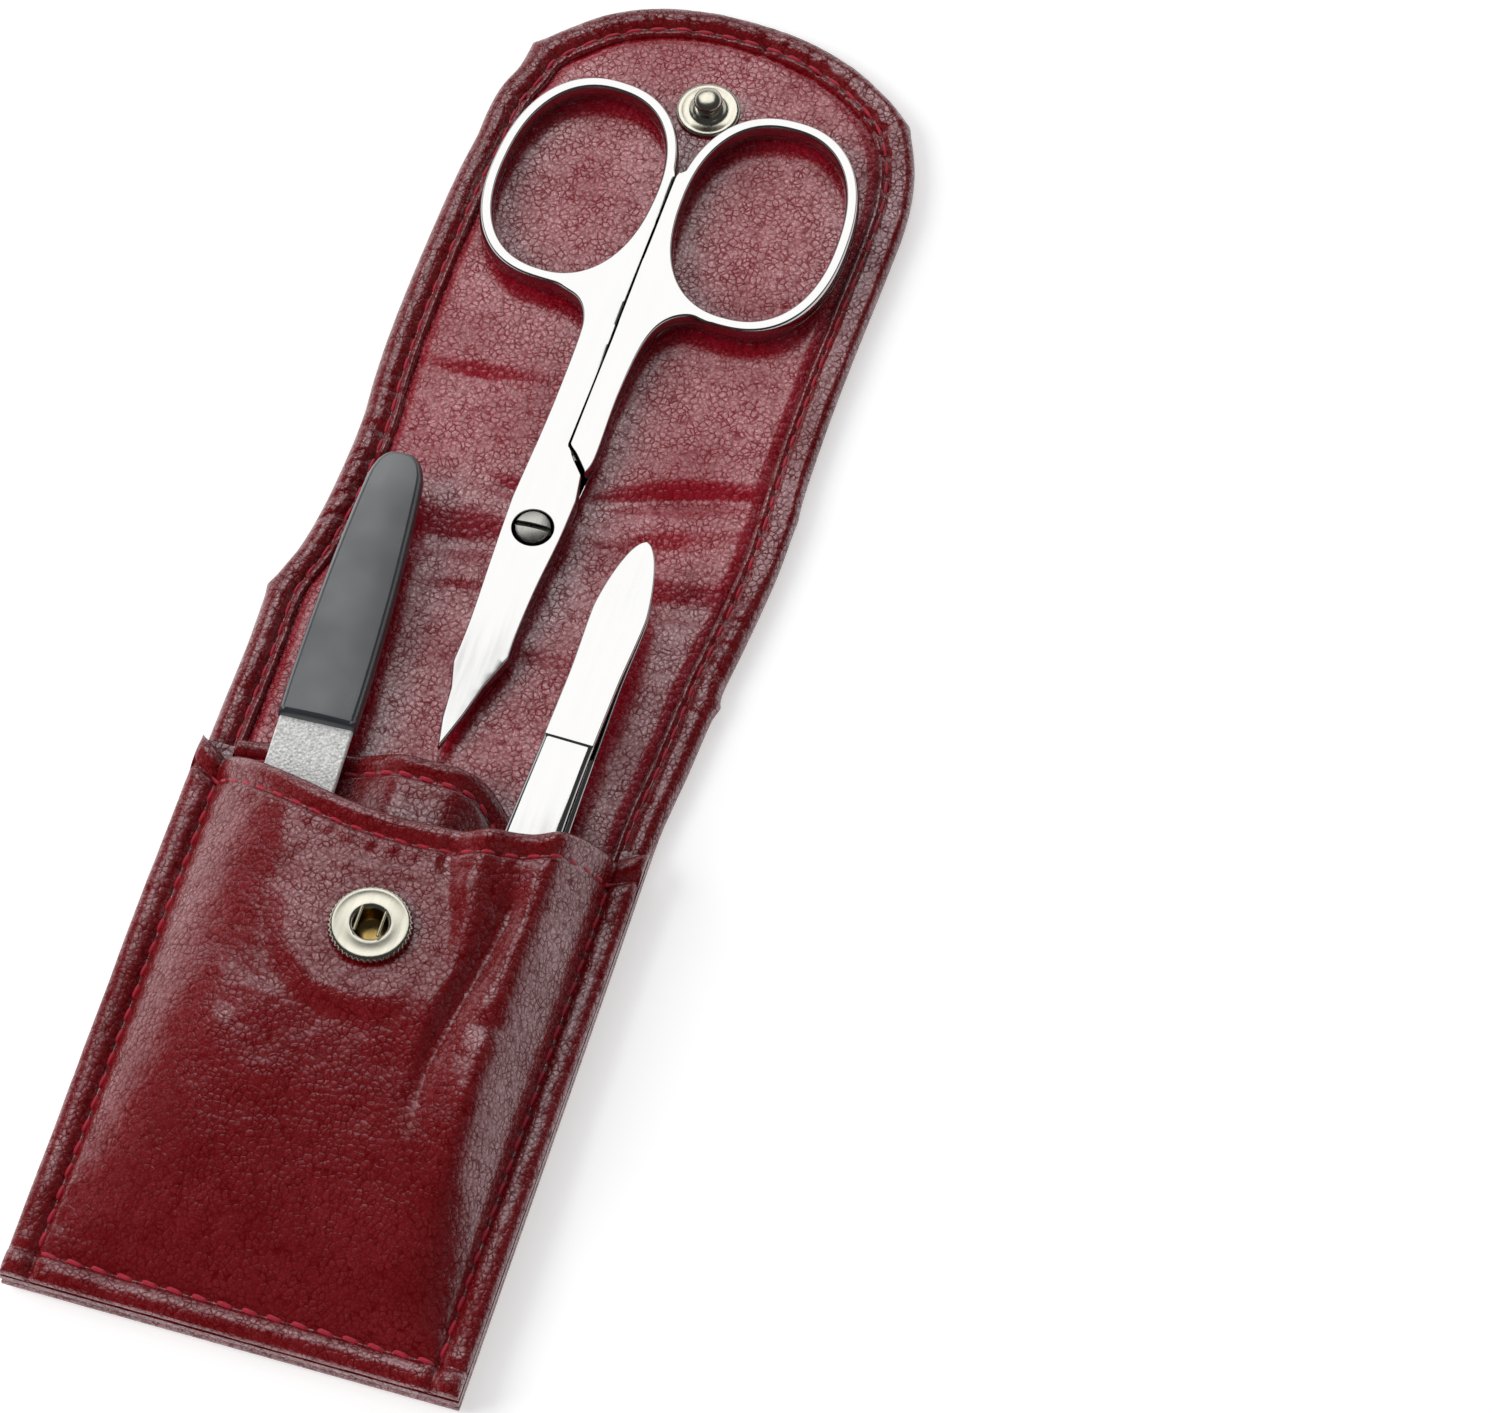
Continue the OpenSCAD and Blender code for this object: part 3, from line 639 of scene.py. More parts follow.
def hide():
    """Points and faces of the outer leather: round the hem, and its plain underside."""
    rings = []
    along, places = pleat_places(cover_loop(0))
    for d, z in HEM_UNDER + HEM_OVER:
        loop = cover_loop(d)
        height = np.full(len(loop), float(z))
        if z > HEM_SIDE:
            height += hem_wave(*loop.T) * (z - HEM_SIDE) / 1.4 - pleats(along, places, d)
            height -= swept(*loop.T) * np.maximum(0, height - SWEPT_TOP)
        rings.append(np.column_stack([loop, height]))
    count = len(loop)
    faces = grid_faces(len(rings), count, wrap=True)
    under = cover_grid(HEM_UNDER[0][0])
    rows, cols = under.shape[:2]
    start = len(rings) * count
    points = np.concatenate(rings + [np.column_stack([under.reshape(-1, 2), np.zeros(rows * cols)])])
    faces += grid_faces(rows, cols, start, flip=True)
    # the underside's border is the first ring
    spots = [(round(x, 4), round(y, 4)) for x, y, _ in points]
    first = dict(zip(spots[:count], range(count)))
    swap = {i: first[spots[i]] for i in range(start, len(points)) if spots[i] in first}
    return points, [[swap.get(i, i) for i in f] for f in faces]


def lining():
    """Points and faces of the lining, which dips where it goes under the hem."""
    inner = cover_grid(LINING_IN)
    flat = inner.reshape(-1, 2)
    out = np.concatenate([np.tile(np.abs(U), (len(ROW_T), 1)), [np.maximum(np.abs(U), v) for v in V]]).ravel()
    z = lining_z(*flat.T) - 0.55 * bump((1 - out) * (FLAP_HALF - LINING_IN), 0.7)
    return np.column_stack([flat, z]), grid_faces(*inner.shape[:2])


def cover():
    pieces = []
    for kind, material, (points, faces) in (("cover", EDGE, hide()), ("lining", LINING, lining())):
        normals = normals_from(points, faces)
        for name, high in (("back", False), ("flap", True)):
            o = split_piece(f"{kind}_{name}", points, faces, normals, high, material)
            pieces.append(bend(o, high))
    low, high, low_in, high_in = pieces
    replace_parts(low, "back_outer", "spine_outer")
    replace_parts(high, "flap_outer")
    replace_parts(low_in, "back_lining", "spine_lining")
    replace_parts(high_in, "flap_lining")


def groove_z(x, y):
    return GROOVE_Z + hem_wave(x, y)


def under_z(x, y):
    return np.full(len(x), 0.25)


def cover_stitches():
    """The seam round the hem, as it shows inside and outside."""
    tip = np.column_stack(tip_point(np.radians(np.linspace(180, 0, 160)), STITCH_IN))
    ys = np.linspace(FOLD_Y, TIP_Y, 100)[:-1]
    loop = np.concatenate([side_points(-1, STITCH_IN, ys), tip, side_points(1, STITCH_IN, ys)[::-1]])
    outside = dict(radius=0.19, dash=2.1, up=DOWN, sink=-0.05)
    inside = dict(outside, up=UP, sink=0.05)
    for tag, kind, z, start in (("inside", inside, groove_z, 62), ("outside", outside, under_z, STITCH_IN)):
        high = stitch_run("stitches_flap_" + tag, np.column_stack([loop, z(*loop.T)]), **kind)
        bend(high, True)
        for side, name in ((-1, "left"), (1, "right")):
            run = side_points(side, STITCH_IN, np.linspace(start, FOLD_Y, 120))
            low = stitch_run(f"stitches_{name}_{tag}", np.column_stack([run, z(*run.T)]), **kind)
            bend(low, False)
    xs = np.linspace(-CASE_HALF + STITCH_IN, CASE_HALF - STITCH_IN, 60)
    run = np.column_stack([xs, np.full(60, STITCH_IN), under_z(xs, xs)])
    low = stitch_run("stitches_bottom_outside", run, **outside)
    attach(low, "case")


# ---------------------------------------------------------------- pocket


def bulge(x, y):
    """The front's rise over the tools: full sides, two ridges over the tweezers and a valley between them."""
    side = np.abs(x) / 23.2
    across = 1 - clamp01(side) ** np.where(x > 0, 7, 4.6)
    t = clamp01((y - 3) / (57 - 15 * ease((x - 7) / 12)))
    valley = 15.3 - 3.2 * ease((58 - y) / 26)
    fading = 1 - 0.75 * ease((y - 54) / 6)
    folds = (0.9 * bump(x - 10.2, 2.3) * ease((y - 30) / 16)
             - 1.0 * bump(x - valley, 1.35) * ease((y - 24) / 12) * fading
             + 1.5 * bump(x - 18.3, 2.7) * ease((y - 14) / 18)
             - 0.5 * bump(x - 6.9, 1.5) * ease((y - 46) / 10)
             - 0.7 * bump(x - 19, 3.2) * bump(y - 40.8 - 0.3 * (x - 19), 1.4)
             - 0.4 * bump(x + 16, 6) * bump(y - 45 + 0.4 * (x + 16), 5))
    return (FRONT_H - EDGE_Z) * across * (1 - (1 - t) ** 2.6) + folds * (1 - clamp01(side) ** 7)


def front_z(x, y):
    r = np.hypot(x - SOCKET[0], y - SOCKET[1])
    return mix(EDGE_Z + bulge(x, y), FRONT_H, 1 - ease((r - 8.5) / 3.5))


def front_mouth(x):
    return POCKET - SCOOP * np.cos(np.pi / 2 * clamp01(np.abs(x) / CASE_HALF)) ** 0.8


def divider_z(x, y):
    return BACK_T + 0.7 + 4.1 * (1 - ease((np.abs(x) - 2.5) / 8.5)) * ease((y - 3) / 25)


def divider_mouth(x):
    return 73.2 - 1.6 * ease((-x - 14) / 9) - 7.8 * ease((x - 5) / 12)


# Distances from an edge where its rounding, bead and groove need points
EDGE_STEPS = np.array([0, 0.04, 0.12, 0.25, 0.45, 0.7, 1, 1.4, 1.8, 2.2, 2.6, 2.9, 3.1, 3.3, 3.5, 3.7,
                       4.1, 4.6, 5.2])
# Turned and stitched edges: the bead's height, the groove's depth, and the stitches' distance from the edge
SEAM, MOUTH = (0.4, 0.45, STITCH_IN), (0.55, 0.45, 2.9)
DIVIDER_SEAM, DIVIDER_MOUTH = (0.1, 0.0, STITCH_IN), (0.5, 0.4, 2.5)
NO_SEAM = (0.0, 0.0, STITCH_IN)
DIVIDER_HALF, DIVIDER_LOW, DIVIDER_T = 22.9, 3.1, 0.9


def edge_bead(d, high, groove, at):
    """Height that a turned and stitched edge adds at a distance from it."""
    bead = high * bump(d - at * 0.45, at * 0.42) + 0.12 * high * bump(d - at - 1.3, 0.8)
    return bead - groove * bump(d - at, 0.42)


def rounding(d, t, rho):
    """How far each face of a sheet t thick draws in at a distance from its edge."""
    q = clamp01(1 - d / rho)
    return t / 2 * (1 - np.sqrt(np.maximum(0, 1 - q * q)))


def swell(x, y):
    """x with the pocket's left side standing out."""
    return x - 0.55 * ease(y / 55) * clamp01(-x / CASE_HALF) ** 2


def mouth_slope(mouth, xs):
    """Length of the mouth's edge for each mm of x."""
    return np.sqrt(1 + np.gradient(mouth(xs), xs) ** 2)


def panel(name, half, y_low, mouth, top, thick, seams, step=0.5, hole=None):
    """A sheet with turned, rounded edges, between y_low and its mouth.

    seams are those of its sides, its low edge and its mouth. hole is a round hole's x, y and radius.
    """
    steps = EDGE_STEPS
    inner = half - steps[-1]
    middle = np.linspace(-inner, inner, int(2 * inner / step))[1:-1]
    xs = np.concatenate([-half + steps, middle, (half - steps)[::-1]])
    mid = np.linspace(0, 1, int(60 / step))[1:-1]
    cols = []
    for x in xs:
        lo, hi = y_low + steps, (mouth(x) - steps)[::-1]
        cols.append(np.concatenate([lo, mix(lo[-1], hi[0], mid), hi]))
    ys = np.array(cols).T
    x = np.broadcast_to(xs, ys.shape)
    edges = [half - np.abs(x), ys - y_low, (mouth(x) - ys) / mouth_slope(mouth, xs)]
    z = top(x, ys) + sum(edge_bead(d, *seam) for d, seam in zip(edges, seams))
    e = rounding(np.min(edges, axis=0), thick, thick * 0.6)
    wide = swell(x, ys)
    sheets = [np.column_stack([wide.ravel(), ys.ravel(), h.ravel()]) for h in (z - e, top(x, ys) - thick + e)]
    points = np.concatenate(sheets)
    n = ys.size
    nr, nc = ys.shape
    faces = grid_faces(nr, nc) + grid_faces(nr, nc, n, flip=True)
    if hole:
        faces = [f for f in faces if np.hypot(*(points[f].mean(axis=0)[:2] - hole[:2])) > hole[2]]
    number = np.arange(n).reshape(nr, nc)
    rim = np.concatenate([number[0], number[1:, -1], number[-1, -2::-1], number[-2:0:-1, 0]]).tolist()
    faces += [[a, a + n, b + n, b] for a, b in zip(rim, rim[1:] + rim[:1])]
    return to_mesh(name, points, faces, LEATHER)


def front_top(x, y):
    r = np.hypot(x - SOCKET[0], y - SOCKET[1])
    free = ease((r - 5.5) / 5)
    waves = 0.24 * fbm(x.ravel(), y.ravel(), 14, 21.0) + 0.12 * fbm(x.ravel(), y.ravel(), 4.5, 2.0)
    d_side = CASE_HALF - np.abs(x)
    d_mouth = front_mouth(x) - y
    pucker = (0.11 * np.cos(2 * np.pi * y / 2.9) * bump(d_side - 4.3, 0.9)
              + 0.10 * np.cos(2 * np.pi * x / 2.6) * bump(d_mouth - 4.2, 1.1))
    return front_z(x, y) + (waves.reshape(x.shape) + pucker) * free


def mouth_run(mouth, xs, inset):
    return mouth(xs) - inset * mouth_slope(mouth, xs)


def pocket():
    front = panel("front_leather", CASE_HALF, 0, front_mouth, front_top, FRONT_T, (SEAM, SEAM, MOUTH),
                  hole=(*SOCKET, 2.7))
    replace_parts(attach(front, "case"), "pocket_front")
    divider = panel("divider_leather", DIVIDER_HALF, DIVIDER_LOW, divider_mouth, divider_z, DIVIDER_T,
                    (DIVIDER_SEAM, NO_SEAM, DIVIDER_MOUTH), step=0.8)
    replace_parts(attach(divider, "case"), "pocket_divider")

    def sewn_front(name, x, y, seam, **kind):
        z = front_top(x, y) + edge_bead(np.full(len(x), seam[2]), *seam)
        return stitch_run(name, np.column_stack([swell(x, y), y, z]), **kind)

    ys = np.linspace(STITCH_IN, POCKET - 5.5, 90)
    xs = np.linspace(-CASE_HALF + STITCH_IN, CASE_HALF - STITCH_IN, 70)
    seam = dict(seam=SEAM, radius=0.26, lean=0.3, sink=0.0)
    mouth = dict(dash=1.95, pitch=2.6, radius=0.22, lean=0.16)
    mouth_xs = np.linspace(-CASE_HALF + 1.2, CASE_HALF - 1.2, 120)
    mouth_ys = mouth_run(front_mouth, mouth_xs, MOUTH[2])
    inner_xs = np.linspace(-21.5, 21.5, 120)
    inner_ys = mouth_run(divider_mouth, inner_xs, DIVIDER_MOUTH[2])
    inner = np.column_stack([inner_xs, inner_ys, divider_z(inner_xs, inner_ys) - 0.1])
    for o in (sewn_front("stitches_front_left", np.full(90, -CASE_HALF + STITCH_IN), ys, **seam),
              sewn_front("stitches_front_right", np.full(90, CASE_HALF - STITCH_IN), ys, **seam),
              sewn_front("stitches_front_bottom", xs, np.full(70, STITCH_IN), **seam),
              sewn_front("stitches_front_mouth", mouth_xs, mouth_ys, MOUTH, **mouth),
              stitch_run("stitches_divider", inner, **mouth)):
        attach(o, "case")


# ---------------------------------------------------------------- press stud
# Profiles of (radius, height), from the seat on the leather
RING = [(1.95, -0.6), (1.95, 0.5), (1.98, 0.78), (2.08, 0.98), (2.25, 1.08), (2.45, 1.1), (2.7, 1.08),
        (3.1, 1.05), (3.6, 1.04), (4.0, 1.06), (4.2, 1.08), (4.35, 1.06), (4.5, 0.99), (4.62, 0.86),
        (4.72, 0.66), (4.76, 0.45), (4.7, 0.22), (4.5, 0.05), (4.3, 0.0)]
CUP = [(1.94, 0.55), (1.93, 0.0), (1.9, -0.7), (1.8, -1.15), (1.55, -1.42), (1.2, -1.55), (0.6, -1.62),
       (0.0, -1.62)]
POST = [(3.7, 0.0), (3.85, 0.12), (3.88, 0.32), (3.82, 0.5), (3.65, 0.6), (3.4, 0.63), (3.15, 0.59),
        (2.9, 0.56), (2.6, 0.55), (2.3, 0.58), (2.1, 0.66), (1.95, 0.84), (1.75, 0.98), (1.4, 1.02),
        (1.15, 1.08), (1.05, 1.25), (1.05, 1.5), (1.25, 1.72), (1.5, 1.95), (1.68, 2.2), (1.75, 2.48),
        (1.68, 2.75), (1.5, 2.96), (1.2, 3.1), (0.8, 3.18), (0.4, 3.21), (0.0, 3.21)]
TEETH, TOOTH_H = 44, 0.09


def milled(r, h, a):
    return r + (TOOTH_H * math.sin(a * TEETH) if 4.55 < r and 0.1 < h < 0.9 else 0)


def press_stud():
    o = revolve("socket_ring", RING, (*SOCKET, FRONT_H), BRASS, 6 * TEETH, milled)
    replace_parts(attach(o, "case"), "snap_socket")
    o = revolve("socket_cup", CUP, (*SOCKET, FRONT_H), GOLD_HOLE_SHADE)
    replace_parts(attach(o, "case"), "snap_cup")
    o = revolve("stud_post", POST, (*STUD, BACK_T), BRASS)
    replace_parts(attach(o, "flap"), "snap_stud")


# ---------------------------------------------------------------- signed distance plates


def sd_polygon(points):
    """Signed distance to a closed polygon, negative inside."""
    a = np.asarray(points, float)
    b = np.roll(a, -1, axis=0)

    def f(x, y):
        d = np.full(x.shape, 1e9)
        inside = np.zeros(x.shape, bool)
        for (ax, ay), (bx, by) in zip(a, b):
            ex, ey = bx - ax, by - ay
            wx, wy = x - ax, y - ay
            t = np.clip((wx * ex + wy * ey) / max(ex * ex + ey * ey, 1e-12), 0, 1)
            d = np.minimum(d, (wx - ex * t) ** 2 + (wy - ey * t) ** 2)
            if ay != by:
                inside ^= ((ay > y) != (by > y)) & (x < ax + wy * ex / ey)
        d = np.sqrt(d)
        return np.where(inside, -d, d)
    return f


def poly(*points):
    return sd_polygon(points)


def spun(x, y, degrees):
    """x and y turned about the origin."""
    t = math.radians(degrees)
    return x * math.cos(t) - y * math.sin(t), x * math.sin(t) + y * math.cos(t)


def sd_oval(loop, grow, power=2.3):
    """Signed distance to a squarish oval of (x, y, half width, half height, turn), made larger by grow."""
    a = np.radians(np.arange(0, 360, 3))
    c, s = np.cos(a), np.sin(a)
    x, y = spun((loop[2] + grow) * np.sign(c) * np.abs(c) ** (2 / power),
                (loop[3] + grow) * np.sign(s) * np.abs(s) ** (2 / power), loop[4])
    return sd_polygon(np.column_stack([loop[0] + x, loop[1] + y]))


def union(f, g, k=0.0):
    """Both areas; k rounds the corner between them."""
    def joint(x, y):
        d, e = f(x, y), g(x, y)
        h = np.maximum(k - np.abs(d - e), 0) / k if k else 0
        return np.minimum(d, e) - h * h * k / 4
    return joint


def cut(f, g):
    return lambda x, y: np.maximum(f(x, y), -g(x, y))


def both(f, g):
    return lambda x, y: np.maximum(f(x, y), g(x, y))


def disc_of(r):
    return lambda x, y: np.hypot(x, y) - r


def contours(f, box, cell):
    """Closed lines along f = 0, as arrays of points, by marching squares on a fine grid."""
    xs = np.arange(box[0], box[1] + cell, cell)
    ys = np.arange(box[2], box[3] + cell, cell)
    gx, gy = np.meshgrid(xs, ys)
    g = f(gx, gy)
    g[np.abs(g) < 1e-9] = 1e-9
    inside = g < 0
    links = {}

    def cross(a, b):
        (i, j), (k, l) = a, b
        t = g[i, j] / (g[i, j] - g[k, l])
        return (mix(xs[j], xs[l], t), mix(ys[i], ys[k], t))

    spots = {}
    mixed = inside[:-1, :-1].astype(int) + inside[1:, :-1] + inside[:-1, 1:] + inside[1:, 1:]
    for i, j in np.argwhere((mixed > 0) & (mixed < 4)):
        corners = [(i, j), (i, j + 1), (i + 1, j + 1), (i + 1, j)]
        cuts = []
        for a, b in zip(corners, corners[1:] + corners[:1]):
            if inside[a] != inside[b]:
                key = tuple(sorted((a, b)))
                spots[key] = cross(a, b)
                cuts.append((key, inside[a]))
        # walk with the inside on the left
        links.update(zip([key for key, in_ in cuts if in_], [key for key, in_ in cuts if not in_]))
    loops = []
    while links:
        first = next(iter(links))
        loop, at = [], first
        while at in links:
            loop.append(spots[at])
            at = links.pop(at)
        loops.append(np.array(loop))
    return loops


def resample(loop, step):
    p = np.concatenate([loop, loop[:1]])
    s = run_lengths(p)
    n = max(8, int(round(s[-1] / step)))
    q = np.linspace(0, s[-1], n, endpoint=False)
    return np.column_stack([np.interp(q, s, p[:, 0]), np.interp(q, s, p[:, 1])])


def gradient(f, p, h=0.05):
    gx = (f(p[:, 0] + h, p[:, 1]) - f(p[:, 0] - h, p[:, 1])) / (2 * h)
    gy = (f(p[:, 0], p[:, 1] + h) - f(p[:, 0], p[:, 1] - h)) / (2 * h)
    n = np.column_stack([gx, gy])
    length = np.linalg.norm(n, axis=1)
    length[length < 1e-6] = 1
    return n / length[:, None]


def outline_loops(f, box, cell, step):
    loops = []
    for loop in contours(f, box, cell):
        if len(loop) < 8:
            continue
        loop = resample(loop, step)
        for _ in range(3):
            loop = loop - gradient(f, loop) * f(loop[:, 0], loop[:, 1])[:, None] * 0.9
        loops.append(loop)
    return loops


def inset_ring(f, loop, width):
    """Moves points inward by up to width, and never past the middle of a thin band."""
    p = loop.copy()
    steps, tries = 6, 12
    for _ in range(steps):
        p = p - gradient(f, p) * (width / steps)[:, None]
    short = -f(p[:, 0], p[:, 1]) < width * 0.9
    if short.any():
        best, depth = loop.copy(), np.zeros(len(loop))
        n = gradient(f, loop)
        for k in range(1, tries + 1):
            q = loop - n * (width * k / tries)[:, None]
            dq = -f(q[:, 0], q[:, 1])
            better = dq > depth
            best[better], depth[better] = q[better], dq[better]
        p[short] = best[short]
    return p


def inside_rings(p, rings):
    """Whether points lie inside closed rings, by counting the edges that a ray crosses."""
    odd = np.zeros(len(p), bool)
    x, y = p[:, 0], p[:, 1]
    for r in rings:
        for (ax, ay), (bx, by) in zip(r, np.roll(r, -1, axis=0)):
            if ay != by:
                odd ^= ((ay > y) != (by > y)) & (x < ax + (y - ay) * (bx - ax) / (by - ay))
    return odd


SLIVER = 0.002  # twice a triangle's area over its longest side squared


def fill(rings, inner=()):
    """Triangles between closed rings of 2-D points that join the inner points, and which points they were."""
    pts = [Vector(q) for ring in [*rings, inner] for q in ring]
    edges, base = [], 0
    for ring in rings:
        n = len(ring)
        edges += [(base + i, base + (i + 1) % n) for i in range(n)]
        base += n
    v, _, triangles, origins, _, _ = delaunay_2d_cdt(pts, edges, [], 0, 1e-6)
    v = np.array([(q.x, q.y) for q in v])
    tri = np.array([list(t) for t in triangles if len(t) == 3])
    a, b, c = v[tri[:, 0]], v[tri[:, 1]], v[tri[:, 2]]
    area = np.abs((b - a)[:, 0] * (c - a)[:, 1] - (b - a)[:, 1] * (c - a)[:, 0])
    longest = np.max([((q - p) ** 2).sum(axis=1) for p, q in ((a, b), (b, c), (c, a))], axis=0)
    tri = tri[area > SLIVER * longest]  # the rest lie outside a straight stretch of a ring
    return v, tri[inside_rings(v[tri].mean(axis=1), rings)].tolist(), origins


def plate(f, box, z_side, z_face, width, cell=0.3, step=0.3, arcs=8, cap=True, height=None, grid=0.8):
    """One rounded half of a plate, from its side at z_side to its flat face at z_face.

    width is the rounding's width, a number or a function of x, y. cap closes it at z_side, and
    height(x, y, z) bends it.
    """
    width_at = width if callable(width) else lambda x, y: np.full(len(x), float(width))
    loops = outline_loops(f, box, cell, step)
    up = z_face > z_side
    verts, faces, inner, ids = [], [], [], []

    def lay(triangles, numbers, upward):
        for t in triangles:
            q = [numbers[i] for i in t]
            a, b, c = (np.array(verts[i]) for i in q)
            faces.append(q if (np.cross(b - a, c - a)[2] > 0) == upward else q[::-1])

    for loop in loops:
        depth = inset_ring(f, loop, width_at(loop[:, 0], loop[:, 1]))
        n = len(loop)
        base = len(verts)
        for k in range(arcs + 1):
            a = math.pi / 2 * (1 - (1 - k / arcs) ** 2)
            z = z_side + (z_face - z_side) * math.sin(a)
            verts += [(x, y, z) for x, y in mix(loop, depth, 1 - math.cos(a))]
        faces += grid_faces(arcs + 1, n, base, flip=not up, wrap=True)
        inner.append(depth)
        ids += range(base + arcs * n, base + (arcs + 1) * n)
    gx, gy = (g.ravel() for g in np.meshgrid(np.arange(box[0], box[1], grid), np.arange(box[2], box[3], grid)))
    deep = f(gx, gy) < -(width_at(gx, gy) + 0.35 * grid)
    v, triangles, origins = fill(inner, np.column_stack([gx, gy])[deep])
    numbers = []
    for point, olds in zip(v, origins):
        on_ring = [ids[k] for k in olds if k < len(ids)]
        numbers.append(on_ring[0] if on_ring else len(verts))
        if not on_ring:
            verts.append((*point, z_face))
    lay(triangles, numbers, up)
    if cap:
        v, triangles, _ = fill(loops)
        numbers = range(len(verts), len(verts) + len(v))
        verts += [(x, y, z_side) for x, y in v]
        lay(triangles, numbers, not up)
    verts = np.array(verts)
    if height is not None:
        verts[:, 2] = height(*verts.T)
    return verts, faces


def joined(name, parts, material, place, weld=0.0):
    """One piece of several lists of points and faces, moved to its place."""
    verts, faces, base = [], [], 0
    for v, f in parts:
        verts.append(v)
        faces += [[i + base for i in q] for q in f]
        base += len(v)
    return to_mesh(name, place(np.concatenate(verts)), faces, material, weld=weld)


# ---------------------------------------------------------------- scissors
# In mm from the pivot, y toward the loops. The loops are (x, y, half width, half height, turn)
LOOP_A = (-9.5, 48.1, 9.2, 13.4, -4)
LOOP_B = (13, 48.2, 9.5, 13.8, 0)
RIM = 1.7
PART_X, PART_GAP, LOOPS_LOW, CROTCH = 0.95, 0.12, 39.3, 52.6
SCISSORS_Z, BLADE_T, SCISSORS_T = 2.7, 1.5, 3.1
SCISSORS_BOX, SCREW_BOX = (-22, 26, -32, 66), (-3, 3, -3, 3)
SCREW_R, SCREW_ROOM, PIVOT_R = 2.14, 2.3, 1.2


def handles():
    """Areas of the upper and the lower half's loop and shank, parted along a gap."""
    low, high, top = (PART_X + 0.1, LOOPS_LOW), (PART_X + 0.45, CROTCH), (PART_X + 0.7, 70)
    g = PART_X + PART_GAP
    shank_a = [(PART_X - 0.35, 11.9), (PART_X, 27.3), (PART_X + 0.1, 44.3),
               *catmull([(-5, 42.3), (-10.5, 34.7), (-7.2, 32.8), (-4.7, 31.7), (-3.4, 29.6), (-3, 26.3),
                         (-3, 17.3), (-3.3, 10)], 6), (PART_X - 0.35, 10)]
    shank_b = [(g - 0.35, 12.1), (g, 27.3), (g + 0.1, 42.3),
               *catmull([(7.5, 42.3), (11.5, 33.7), (9.2, 33.2), (7.1, 32.2), (5.6, 30.1), (4.7, 26.3),
                         (4.2, 19.3), (4.2, 11), (3.5, 8.6)], 6)]
    web_a = [(-4, 33), (PART_X, 30), low, (PART_X + 0.4, CROTCH), (-2, CROTCH + 0.6), (-4, 48)]
    web_b = [(g, 30), (8, 34), (8, 48), (5, CROTCH + 0.6), (PART_X + 0.4 + PART_GAP, CROTCH),
             (g + 0.1, LOOPS_LOW)]
    beyond_a = [low, (PART_X + 30, LOOPS_LOW), (PART_X + 30, 70), top, high]
    beyond_b = [(x + PART_GAP, y) for x, y in ((low[0] - 30, low[1]), low, high, top, (low[0] - 30, 70))]
    for loop, shank, web, beyond in ((LOOP_A, shank_a, web_a, beyond_a), (LOOP_B, shank_b, web_b, beyond_b)):
        whole = union(union(sd_oval(loop, RIM), poly(*shank), k=0.6), poly(*web))
        yield cut(cut(whole, sd_oval(loop, 0)), poly(*beyond))


def blade(trim=0.0):
    """Area of a blade, drawn in by trim on both edges."""
    right = catmull([(3.85, 4.9), (3.6, -0.7), (2.95, -7.7), (2.6, -14.1), (2.65, -17.4)], 5)
    left = catmull([(-3.55, -19.4), (-3.35, -13.3), (-3.6, -2.7), (-3.7, 3.3)], 5)
    point = [(0.95 - trim, -21.7), (-0.15 - trim, -25.8), (-1.75, -30.8), (-2.5, -26.7), (-2.75 + trim, -22.7)]
    return poly((-3.3, 10.4), (0.6, 11.9), (3.35, 8.5), *(right - [trim, 0]), *point, *(left + [trim, 0]))


